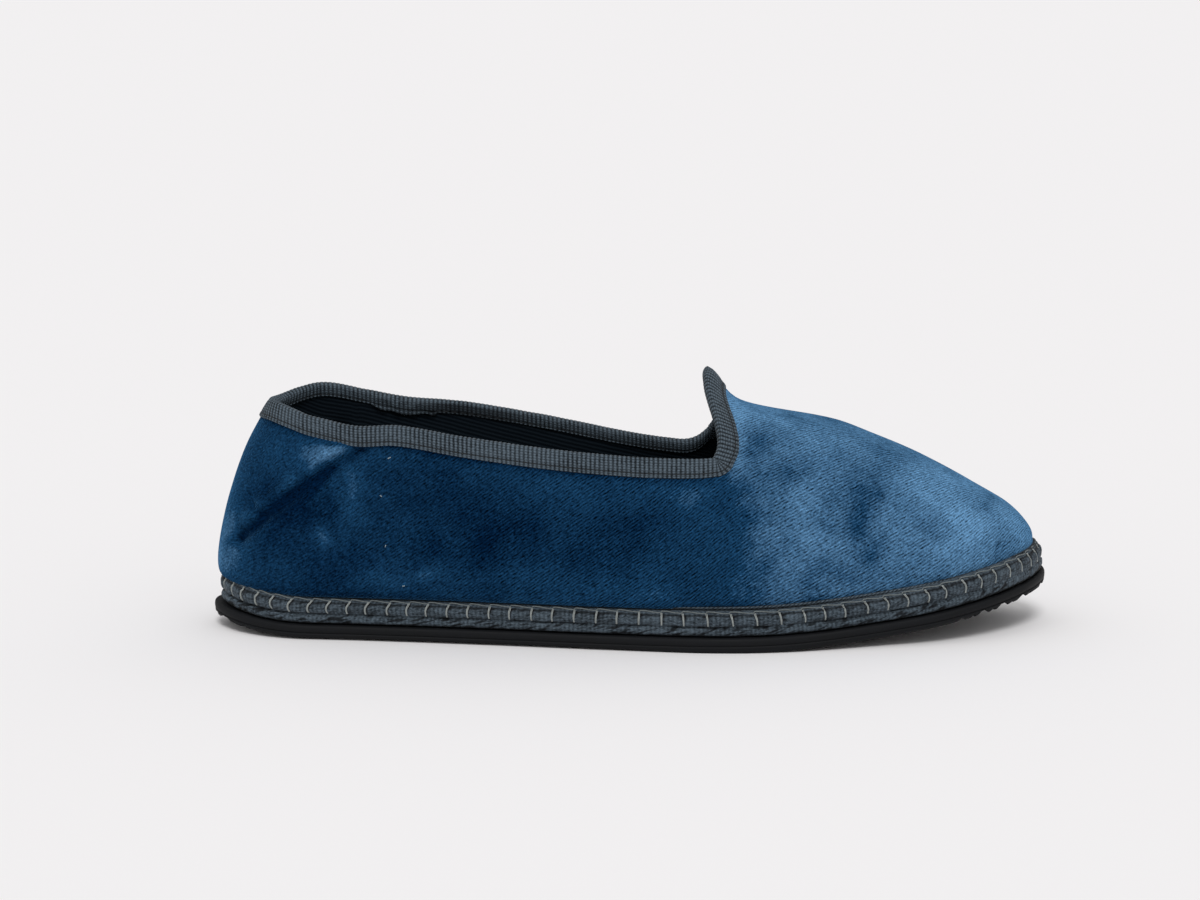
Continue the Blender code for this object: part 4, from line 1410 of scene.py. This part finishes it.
def make_lip():
    """Narrow tape between the band and the velvet, painted dark as shade behind the waist and at the toe."""
    stations, sides = edge_loop(SOLE_COLUMNS)
    tall = along(SOLE, "welt", stations)
    shares = column(LIP, "share")
    angles = angle_at(tall[:, None] * np.minimum(shares, 1), stations[:, None], sides[:, None])
    points = wall_point(stations[:, None], sides[:, None], angles)
    points[..., 2] += tall[:, None] * np.maximum(shares - 1, 0)
    foot = points[:, 0, :2]
    ahead = np.roll(foot, -1, axis=0) - np.roll(foot, 1, axis=0)
    outward = unit(np.stack([ahead[:, 1], -ahead[:, 0], np.zeros(len(foot))], axis=-1))
    points = points + outward[:, None] * column(LIP, "off")[None, :, None]
    ring = np.concatenate([points, points[:, :1]], axis=1)
    uv = loop_uv(ring)
    uv[..., 0] += LIP_SLANT * uv[..., 1]
    shaded = LIP_WAIST.dark * (1 - smooth(stations, LIP_WAIST.start, LIP_WAIST.end))
    shaded = shaded + LIP_TOE.dark * smooth(stations, LIP_TOE.start, LIP_TOE.end)
    shade = np.maximum(shaded[:, None], column(LIP + LIP[:1], "dark"))
    patch = Patchwork()
    patch.grid(ring, uv, 0, closed=True, mark=shade)
    return patch.make("sole_lip", [tape_material("lip_tape", rib_share=0.8, crumple_share=0.3)], "crease")


def make_insole():
    """Insole covered with the lining, a little dished under the foot."""
    stations, sides = edge_loop(SOLE_COLUMNS)
    points = layer_side(INSOLE_EDGE, FEATHER_BASE, stations, sides)
    patch = Patchwork()
    patch.grid(points, loop_uv(points), 0, closed=True)
    for row, dish in ((0, 0.0), (-1, INSOLE_DISH)):
        cap = cap_grid(points[:, row], TREAD_ROWS)
        share = np.linspace(-1.0, 1.0, TREAD_ROWS + 1)
        cap[..., 2] -= dish * (1 - share**2)[None, :]
        patch.grid(cap, cap[..., :2], 0)
    return patch.make("lined_insole", [lining_material()])


def tread_height(points):
    """Height of the outsole's underside: ribs swept forward across it, inside a plain rim."""
    x, y = points[..., 0], points[..., 1]
    half = (y[:, -1:] - y[:, :1]) / 2
    middle = (y[:, -1:] + y[:, :1]) / 2
    aside = np.abs(y - middle)
    widest = column(SOLE, "lateral").max()
    sweep = TREAD_SWEEP * half / widest * (1 - aside / np.maximum(half, TINY))
    place = (x - sweep + LENGTH / 2) / LENGTH * TREAD_RIBS
    from_rib = np.abs(place - np.floor(place) - 0.5) - TREAD_RIB_SHARE / 2
    groove = smooth(from_rib * LENGTH / TREAD_RIBS, -TREAD_SOFT, TREAD_SOFT)
    inside = smooth(half - aside, TREAD_RIM, TREAD_RIM + TREAD_RIM_SOFT)
    end = TREAD_RIM + TREAD_ENDS
    return TREAD_DEPTH * groove * inside * smooth(LENGTH / 2 - np.abs(x), end, end + 1)


def make_outsole():
    """Rubber outsole: moulded side, ribs across the tread, nubs at the toe's and heel's lower edge."""
    sizes, _ = settings()
    stations, sides = edge_loop(SOLE_COLUMNS)
    under = along(SOLE, "under", stations)
    points = layer_side(OUTSOLE_EDGE, 0.0, stations, sides)
    rows = []
    for edge in UNDER_EDGE:
        x, y = sole_edge(stations, sides, edge.share * under)
        rows.append(np.stack([x, y, edge.height + spring(x)], axis=-1)[:, None])
    side = np.concatenate([*rows, points], axis=1)
    pitch = sizes.nub_pitch / MM
    place_x = side[:, : len(NUB_LIFT), 0]
    uneven = place_x + pitch * NUB_UNEVEN * np.sin(place_x)
    nubs = smooth(np.sin(2 * math.pi * uneven / pitch), *NUB_EDGE)
    ends = smooth(stations, *NUB_TOE) + 1 - smooth(stations, *NUB_HEEL)
    side[:, : len(NUB_LIFT), 2] += nubs * ends[:, None] * NUB_LIFT * sizes.nub_depth / MM
    patch = Patchwork()
    patch.grid(side, loop_uv(side), 0, closed=True)
    bottom = cap_grid(side[:, 0], TREAD_ROWS)
    bottom[..., 2] += tread_height(bottom)
    patch.grid(bottom, bottom[..., :2], 0)
    top = cap_grid(side[:, -1], CAP_ROWS)
    patch.grid(top, top[..., :2], 0)
    return patch.make("rubber_outsole", [rubber_material()])


def collar_places(depths):
    """Places on the last of lines down the wall all round the opening, and the lines of its corners."""
    pivot = HEEL_PIVOT / LENGTH
    heel = pivot * (1 - np.cos(math.pi / 2 * np.arange(1, COLLAR_STEPS // 2) / (COLLAR_STEPS // 2)))
    quarter = np.linspace(pivot, THROAT_STATION, COLLAR_STEPS, endpoint=False)
    stations = np.concatenate([heel, quarter])
    turns = np.linspace(0.0, math.pi / 2, FAN_STEPS)[:, None]
    shares = np.linspace(0.0, 1.0, COLLAR_STEPS // 3 + 1)[1:, None]
    halves = []
    for side in (-1.0, 1.0):
        top = collar_angle(stations, side)[:, None]
        wall = (stations[:, None], side, angle_below(stations[:, None], side, top, depths))
        corner = collar_angle(np.array([THROAT_STATION]), side)[0]
        reach = depths * (1 - CORNER_PULL * np.sin(2 * turns))
        fan_stations = station_of(THROAT_X + reach * np.sin(turns), FEATHER_INSET)
        fan = (fan_stations, side, angle_below(fan_stations, side, corner, reach * np.cos(turns)))
        throat_stations = station_of(THROAT_X + along(THROAT, "ahead", shares) + depths, FEATHER_INSET)
        throat = (throat_stations, side, corner + (math.pi / 2 - corner) * shares)
        parts = [np.broadcast_arrays(*part, depths)[:3] for part in (wall, fan, throat)]
        halves.append([np.concatenate(columns) for columns in zip(*parts)])
    lateral, medial = halves
    places = [np.concatenate([a, b[-2::-1]]) for a, b in zip(lateral, medial)]
    first = len(stations)
    corners = [np.arange(first, first + FAN_STEPS)]
    corners.append(len(places[0]) - 1 - corners[0])
    return places, corners


def collar_lines(depths):
    """Points, normals and ways over the edge of lines round the opening, a few for each rib of the tape."""
    sizes, _ = settings()
    places, corners = collar_places(depths)
    points = wall_point(*places)
    normals = wall_normal(*places)
    over = unit(points[:, 0] - points[:, 1])
    for corner in corners:
        first, last = over[corner[0]], over[corner[-1]]
        over[corner] = (first + last) / (1 + first @ last)
    guide = points[:, len(depths) // 2]
    steps = np.linalg.norm(np.diff(np.concatenate([guide, guide[:1]]), axis=0), axis=1)
    run = sums(steps)
    ribs = round(run[-1] / (sizes.rib_pitch / MM))
    wanted = np.arange(ribs * RIB_SAMPLES) / (ribs * RIB_SAMPLES) * run[-1]

    def at(values):
        flat = np.concatenate([values, values[:1]]).reshape(len(values) + 1, -1)
        found = np.stack([np.interp(wanted, run, part) for part in flat.T], axis=1)
        return found.reshape(len(wanted), *values.shape[1:])

    return at(points), unit(at(normals)), at(over), wanted


def drawn_up(values, depths):
    """Values of the lines down the wall, drawn up to the shorter inner leg."""
    wanted = depths * INNER_LEG_SHARE
    low = np.clip(np.searchsorted(depths, wanted, side="right") - 1, 0, len(depths) - 2)
    share = ((wanted - depths[low]) / (depths[low + 1] - depths[low]))[None, :, None]
    return values[:, low] * (1 - share) + values[:, low + 1] * share


def tape_face(points, inner_points, normals, over):
    """Outside of the folded tape: up the outer leg, over the edge and down the inner leg, with directions."""
    off = column(TAPE_FACE, "off")[None, :, None]
    outer = points[:, ::-1] + normals[:, ::-1] * off
    inner = inner_points - normals * (WALL + off[:, ::-1])
    bend = math.pi * np.arange(1, FOLD_ROWS + 1)[None, :, None] / (FOLD_ROWS + 1)
    edge, out, up = points[:, :1], normals[:, :1], over[:, None]
    reach = WALL / 2 + TAPE_FACE[-1].off
    fold_out = out * np.cos(bend)
    fold_up = up * np.sin(bend)
    fold = edge - out * WALL / 2 + fold_out * reach + fold_up * FOLD_RISE
    rows = np.concatenate([outer, fold, inner], axis=1)
    ways = np.concatenate([normals[:, ::-1], fold_out + fold_up, -normals], axis=1)
    return rows, ways


def tape_depths():
    """Distances of the tape's rows from the collar's edge."""
    return BINDING_LEG - column(TAPE_FACE, "up")[::-1]


def overlap_tape(rows, ways, points, leg):
    """Thickens the inner leg's rows and hangs them lower, where the tape's ends overlap."""
    place = points[:, :1, 0]
    ends = [smooth(place, end - JOIN.soft, end + JOIN.soft) for end in (JOIN.back, JOIN.front)]
    join = (ends[0] - ends[1]) * (points[:, :1, 1] > 0)
    lumps = JOIN_LUMPS.height * cloth_noise(rows[:, leg], JOIN_LUMPS.size, JOIN_LUMPS.seed)
    rows[:, leg] += ways[:, leg] * (join * (JOIN.thick + lumps))[..., None]
    ragged = JOIN_RAGGED.share * cloth_noise(points[:, :1], JOIN_RAGGED.size, JOIN_RAGGED.seed)
    rows[:, leg, 2] -= join * JOIN.drop * (1 + ragged) * np.linspace(0, 1, len(TAPE_FACE)) ** 2


def make_collar_tape():
    """Ribbed tape folded over the collar's edge, in one ring."""
    sizes, _ = settings()
    points, normals, over, _ = collar_lines(tape_depths())
    inner = drawn_up(points, tape_depths())
    rows, ways = tape_face(points, inner, normals, over)
    rib = np.abs(np.sin(math.pi * np.arange(len(rows)) / RIB_SAMPLES))[:, None, None]
    wave = TAPE_WAVE.height * cloth_noise(rows, TAPE_WAVE.size, TAPE_WAVE.seed)[..., None]
    rows = rows + ways * (rib * sizes.rib_height / MM + wave)
    leg = slice(len(TAPE_FACE) + FOLD_ROWS, len(rows[0]))
    overlap_tape(rows, ways, points, leg)
    seat = [inner[:, i] - normals[:, i] * (WALL + TAPE_SEAT) for i in (-1, SEAT_ROW)]
    edge = points[:, 0] + over * TAPE_SEAT
    seat += [edge - normals[:, 0] * (WALL + TAPE_SEAT), edge + normals[:, 0] * TAPE_SEAT]
    seat += [points[:, i] + normals[:, i] * TAPE_SEAT for i in (SEAT_ROW, -1)]
    ring = np.concatenate([rows, np.stack(seat, axis=1), rows[:, :1]], axis=1)
    uv = loop_uv(ring)
    uv[..., 0] = np.arange(len(ring))[:, None] / RIB_SAMPLES * sizes.rib_pitch / MM
    # Painted shade: the face's groove and edges, the hidden seat fully dark, and the medial inner leg darkest
    # near its middle
    dark = [row.dark for row in TAPE_FACE]
    crease = np.array(dark + [0.0] * FOLD_ROWS + dark[::-1] + [1.0] * len(seat) + dark[:1])
    crease = np.broadcast_to(crease, ring.shape[:2]).copy()
    near = hump(points[:, :1, 0] - LEG_SHADE.x, LEG_SHADE.reach, power=4)
    crease[:, leg] += LEG_SHADE.dark * near * (points[:, :1, 1] > 0)
    patch = Patchwork()
    patch.grid(ring, uv, 0, closed=True, mark=crease)
    tape = tape_material("collar_tape", rib_share=1.15, crumple_share=0.2)
    return patch.make("collar_tape", [tape], "crease")


def thread_tree():
    """Node tree that draws round thread along the edges of a mesh."""
    tree = bpy.data.node_groups.new("thread", "GeometryNodeTree")
    sockets = {"Geometry": "Geometry", "Radius": "Float", "Sides": "Int", "Material": "Material"}
    for name, kind in sockets.items():
        tree.interface.new_socket(name, in_out="INPUT", socket_type="NodeSocket" + kind)
    tree.interface.new_socket("Geometry", in_out="OUTPUT", socket_type="NodeSocketGeometry")
    given = tree.nodes.new("NodeGroupInput").outputs

    def step(kind, **inputs):
        titled = {key.replace("_", " "): value for key, value in inputs.items()}
        return add_node(tree, "GeometryNode" + kind, titled).outputs[0]

    path = step("MeshToCurve", Mesh=given["Geometry"])
    circle = step("CurvePrimitiveCircle", Radius=given["Radius"], Resolution=given["Sides"])
    tube = step("CurveToMesh", Curve=path, Profile_Curve=circle, Fill_Caps=True)
    real = step("RealizeInstances", Geometry=step("SetShadeSmooth", Geometry=tube))
    painted = step("SetMaterial", Geometry=real, Material=given["Material"])
    tree.links.new(painted, tree.nodes.new("NodeGroupOutput").inputs[0])
    return tree


def make_thread(name, paths, radius, material, sides=8):
    """A piece of round threads along paths of points, drawn by the thread tree."""
    points = np.concatenate(paths) * MM
    edges = []
    first = 0
    for path in paths:
        edges += [(first + i, first + i + 1) for i in range(len(path) - 1)]
        first += len(path)
    mesh = bpy.data.meshes.new(name + "_paths")
    mesh.from_pydata(points.tolist(), edges, [])
    drawn = add_object(name + "_paths", mesh)
    modifier = drawn.modifiers.new("thread", "NODES")
    modifier.node_group = bpy.data.node_groups.get("thread") or thread_tree()
    values = {"Radius": radius * MM, "Sides": sides, "Material": material}
    for item in modifier.node_group.interface.items_tree:
        if item.in_out == "INPUT" and item.name in values:
            modifier[item.identifier] = values[item.name]
    graph = bpy.context.evaluated_depsgraph_get()
    result = bpy.data.meshes.new_from_object(drawn.evaluated_get(graph))
    result.name = name
    bpy.data.objects.remove(drawn)
    bpy.data.meshes.remove(mesh)
    return add_object(name, result)


def make_band_stitches():
    """Upright strands of the band's blanket stitches, two in each pinch."""
    sizes, colours = settings()
    points, normals, _ = band_grid()
    stations, _ = band_loop()
    top, foot = np.searchsorted(BAND_HEIGHTS, (STITCH_TOP - STITCH_DOWN, STITCH_FOOT))
    rows = np.arange(top, foot - 1, -1)
    share = (rows - top) / (foot - top)
    radius = sizes.band_thread / MM / 2
    ahead = unit(np.roll(points, -1, axis=0) - np.roll(points, 1, axis=0))
    lean = stitch_lean(stations, BAND_HEIGHTS[None, :])
    lift = radius * np.where(share < 1, STRAND.off, STRAND.end)
    random = np.random.default_rng(STITCH_SEED)
    paths = []
    for first in range(FIRST_STITCH, len(points), BAND_SAMPLES):
        sway = random.uniform(-STRAND.sway, STRAND.sway) * share
        for strand in (-1, 1):
            apart = strand * radius * (STRAND.apart - STRAND.close * share)
            way = ahead[first, rows] * (lean[first, rows] + sway + apart)[:, None]
            paths.append(points[first, rows] + way + normals[first, rows] * lift[:, None])
    return make_thread("band_stitches", paths, radius, thread_material("band_thread", colours.thread))


def make_band_top_thread():
    """Thread that joins the tops of the band's stitches, painted darker than them as shade under the velvet.
    """
    sizes, colours = settings()
    points, normals, _ = band_grid()
    stations, _ = band_loop()
    radius = sizes.band_top_thread / MM / 2
    reach = np.linalg.norm(points[1, TOP_ROW] - points[0, TOP_ROW])
    phase = stitch_phase(len(points), stitch_lean(stations, np.array([[STITCH_TOP]])) / reach)[:, 0]
    line = points[:, TOP_ROW] + normals[:, TOP_ROW] * radius * TOP_THREAD.off
    swing_up = TOP_THREAD.swing * np.sin(2 * math.pi * phase)
    line[:, 2] += TOP_THREAD.rise - TOP_THREAD.fall * phase + swing_up
    material = thread_material("band_top_thread", colours.top_thread)
    return make_thread("band_top_thread", [np.concatenate([line, line[:1]])], radius, material)


def make_collar_stitches():
    """Short stitches along the tape's lower edge, outside and inside."""
    sizes, colours = settings()
    depths = (BINDING_LEG - STITCH_UP) * np.array([0.0, INNER_LEG_SHARE, 1.0])
    points, normals, _, run = collar_lines(depths)
    radius = sizes.collar_thread / MM / 2
    length = run[1] - run[0]
    pitch = round(sizes.collar_stitch / MM / length)
    span = round(pitch * STITCH_SPAN)
    lift = STITCH_SUNK + STITCH_PROUD * np.sin(math.pi * np.arange(span + 1) / span)
    paths = []
    for first in range(0, len(run) - span, pitch):
        rows = np.arange(first, first + span + 1)
        for line, off in ((2, lift), (1, -WALL - lift)):
            paths.append(points[rows, line] + normals[rows, line] * off[:, None])
    material = thread_material("collar_thread", colours.collar_thread)
    return make_thread("collar_stitches", paths, radius, material, FINE_SIDES)


def settings():
    return bpy.context.scene.friulana_sizes, bpy.context.scene.friulana_colours


def length_property(name, description, default):
    """A length whose default is in millimetres."""
    return bpy.props.FloatProperty(
        name=name, description=description, default=default * MM, min=0.0, precision=5, unit="LENGTH"
    )


class FriulanaSizes(bpy.types.PropertyGroup):
    """Sizes of the cloth, tapes and threads."""

    pile_pitch: length_property("Pile pitch", "Distance between the velvet's diagonal lines", 0.89)
    rib_pitch: length_property("Rib pitch", "Distance between the ribs of the tapes", 1.38)
    rib_height: length_property("Rib height", "Height of the collar tape's ribs", 0.16)
    pillow: length_property("Pillow", "How far the band swells between its stitches", 0.8)
    band_thread: length_property("Band thread", "Thickness of a strand of the band's stitches", 0.3)
    band_top_thread: length_property("Band top thread", "Thickness of the thread along the band", 0.38)
    collar_thread: length_property("Collar thread", "Thickness of the collar's thread", 0.4)
    collar_stitch: length_property("Collar stitch", "Pitch of the collar's stitches", 2.8)
    lint: length_property("Lint", "Thickness of the specks of lint", 0.35)
    nub_pitch: length_property("Nub pitch", "Distance between the nubs of the outsole's ends", 3.4)
    nub_depth: length_property("Nub depth", "Depth of the gaps between those nubs", 1.4)
    pile_turn: bpy.props.FloatProperty(
        name="Pile turn",
        description="Angle of the velvet's lines to the shoe's length",
        default=math.radians(-55),
        subtype="ANGLE",
    )


def colour_property(name, description, default):
    return bpy.props.FloatVectorProperty(
        name=name, description=description, default=default, subtype="COLOR", size=3, min=0.0, max=1.0
    )


class FriulanaColours(bpy.types.PropertyGroup):
    """Colours of the finishes, as linear values."""

    # The three velvet colours are shaded, middle and lit copies of one velvet, blended by its painted light
    velvet_painted_shade: colour_property("Velvet, dark nap", "Pile lying away from the light", (0.0008, 0.009, 0.03))
    velvet: colour_property("Velvet", "Pile between light and dark", (0.008, 0.042, 0.1))
    velvet_painted_light: colour_property("Velvet, light nap", "Pile that lies to the light", (0.11, 0.25, 0.43))
    velvet_sheen: colour_property("Velvet sheen", "Tint of the pile's sheen", (0.15, 0.45, 0.85))
    lining: colour_property("Lining", "Ground of the lining", (0.0028, 0.0052, 0.0082))
    lining_thread: colour_property("Lining thread", "Raised threads of the lining", (0.0095, 0.015, 0.021))
    # The tapes' hollows: the weave's pattern, with painted shade
    tape_dark: colour_property("Tape, dark", "Hollows of the tapes", (0.006, 0.009, 0.012))
    # Painted shade of the tapes' creases, grooves and hidden faces
    tape_painted_shade: colour_property("Tape, creases", "Creases and grooves of the tapes", (0.0015, 0.002, 0.003))
    tape_light: colour_property("Tape, light", "Ribs of the tapes", (0.10, 0.134, 0.166))
    thread: colour_property("Band thread", "Blanket stitches of the sole band", (0.37, 0.40, 0.39))
    # The same thread as the stitches, painted darker as shade
    top_thread: colour_property("Band top thread", "Thread along the sole band", (0.17, 0.195, 0.2))
    collar_thread: colour_property("Collar thread", "Stitches of the collar", (0.01, 0.014, 0.018))
    lint: colour_property("Lint", "Specks of lint", (0.3, 0.38, 0.42))
    rubber: colour_property("Rubber", "Rubber of the outsole", (0.0022, 0.0027, 0.0036))
    rubber_dust: colour_property("Rubber, dusty", "Dusty patches of the rubber", (0.0052, 0.006, 0.0078))
    floor: colour_property("Floor", "Plain floor", (0.945, 0.93, 0.937))


# The photograph's camera: its angle above the floor, distance and lens, and where it aims in the image
CAMERA_ELEVATION = math.radians(10.5)
CAMERA_DISTANCE = 0.9
CAMERA_LENS = 85.0
CAMERA_SENSOR = 36.0
CAMERA_AIM = Vector((0.0, 0.0, 0.035))
AIM_RIGHT_PX = 31
AIM_DOWN_PX = 65
FLOOR_SIZE = 400.0
# The studio's even light, and the soft light from above: strength, width and turn in degrees
WORLD_STRENGTH = 0.62
KEY_LIGHT = named("energy angle turn", 1.3, 20, (40, 0, 0))


def make_camera():
    camera = bpy.data.cameras.new("camera")
    camera.lens = CAMERA_LENS
    camera.sensor_width = CAMERA_SENSOR
    camera.shift_x = -AIM_RIGHT_PX / IMAGE_WIDTH
    camera.shift_y = AIM_DOWN_PX / IMAGE_WIDTH
    camera.clip_end = FLOOR_SIZE
    back = Vector((0.0, -math.cos(CAMERA_ELEVATION), math.sin(CAMERA_ELEVATION)))
    made = add_object("camera", camera)
    made.location = CAMERA_AIM + back * CAMERA_DISTANCE
    made.rotation_euler = back.to_track_quat("Z", "Y").to_euler()
    bpy.context.scene.camera = made


def make_floor():
    half = FLOOR_SIZE / 2
    mesh = bpy.data.meshes.new("floor")
    corners = [(-half, -half, 0), (half, -half, 0), (half, half, 0), (-half, half, 0)]
    mesh.from_pydata(corners, [], [(0, 1, 2, 3)])
    mesh.materials.append(floor_material())
    floor = add_object("floor", mesh)


def make_key_light():
    """A wide soft light from far off, turned to where it shines."""
    light = bpy.data.lights.new("key", "SUN")
    light.energy = KEY_LIGHT.energy
    light.angle = math.radians(KEY_LIGHT.angle)
    made = add_object("key", light)
    made.rotation_euler = [math.radians(value) for value in KEY_LIGHT.turn]


def make_world():
    world = bpy.data.worlds.new("studio")
    world.use_nodes = True
    background = world.node_tree.nodes["Background"]
    background.inputs["Color"].default_value = (1.0, 1.0, 1.0, 1.0)
    background.inputs["Strength"].default_value = WORLD_STRENGTH
    bpy.context.scene.world = world


class FRIULANA_OT_stage(bpy.types.Operator):
    """Floor, soft studio light and the photograph's camera"""

    bl_idname = "friulana.stage"
    bl_label = "Stage"

    def execute(self, context):
        make_camera()
        make_floor()
        make_world()
        make_key_light()
        context.scene.view_settings.view_transform = "Standard"
        return {"FINISHED"}


def place(piece, slot, *nodes):
    """Lets a piece ride on the shoe and stand for CAD nodes, which it hides. The slot is not used."""
    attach(piece, "root")
    if nodes:
        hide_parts(*nodes)


class FRIULANA_OT_upper(bpy.types.Operator):
    """Velvet upper with its lining and a few specks of lint"""

    bl_idname = "friulana.upper"
    bl_label = "Upper"

    def execute(self, context):
        place(make_upper(), "velvet", "upper")
        place(make_lint(), "velvet")
        return {"FINISHED"}


class FRIULANA_OT_collar(bpy.types.Operator):
    """Ribbed tape round the collar, with its stitches"""

    bl_idname = "friulana.collar"
    bl_label = "Collar tape"

    def execute(self, context):
        place(make_collar_tape(), "collar_tape", "collar_binding")
        place(make_collar_stitches(), "collar_tape")
        return {"FINISHED"}


class FRIULANA_OT_band(bpy.types.Operator):
    """Stitched tape band of the sole, and the lip above it"""

    bl_idname = "friulana.band"
    bl_label = "Sole band"

    def execute(self, context):
        place(make_band(), "sole_tape", "midsole")
        place(make_lip(), "sole_tape", "welt")
        place(make_band_stitches(), "sole_tape")
        place(make_band_top_thread(), "sole_tape")
        return {"FINISHED"}


class FRIULANA_OT_insole(bpy.types.Operator):
    """Lined insole"""

    bl_idname = "friulana.insole"
    bl_label = "Insole"

    def execute(self, context):
        place(make_insole(), "lining", "insole")
        return {"FINISHED"}


class FRIULANA_OT_outsole(bpy.types.Operator):
    """Rubber outsole with its tread"""

    bl_idname = "friulana.outsole"
    bl_label = "Outsole"

    def execute(self, context):
        place(make_outsole(), "rubber", "outsole")
        return {"FINISHED"}


OPERATORS = (
    FRIULANA_OT_stage,
    FRIULANA_OT_upper,
    FRIULANA_OT_collar,
    FRIULANA_OT_band,
    FRIULANA_OT_insole,
    FRIULANA_OT_outsole,
)


class FRIULANA_PT_panel(bpy.types.Panel):
    """Lists the slipper's pieces in the sidebar"""

    bl_idname = "FRIULANA_PT_panel"
    bl_label = "Friulana"
    bl_space_type = "VIEW_3D"
    bl_region_type = "UI"
    bl_category = "Friulana"

    def draw(self, context):
        for operator in OPERATORS:
            self.layout.operator(operator.bl_idname)


CLASSES = (FriulanaSizes, FriulanaColours, *OPERATORS, FRIULANA_PT_panel)


def register():
    for cls in CLASSES:
        bpy.utils.register_class(cls)
    bpy.types.Scene.friulana_sizes = bpy.props.PointerProperty(type=FriulanaSizes)
    bpy.types.Scene.friulana_colours = bpy.props.PointerProperty(type=FriulanaColours)


def unregister():
    del bpy.types.Scene.friulana_colours
    del bpy.types.Scene.friulana_sizes
    for cls in reversed(CLASSES):
        bpy.utils.unregister_class(cls)


def main():
    register()
    bpy.ops.friulana.stage()
    bpy.ops.friulana.upper()
    bpy.ops.friulana.collar()
    bpy.ops.friulana.band()
    bpy.ops.friulana.insole()
    bpy.ops.friulana.outsole()


if __name__ == "__main__":
    main()
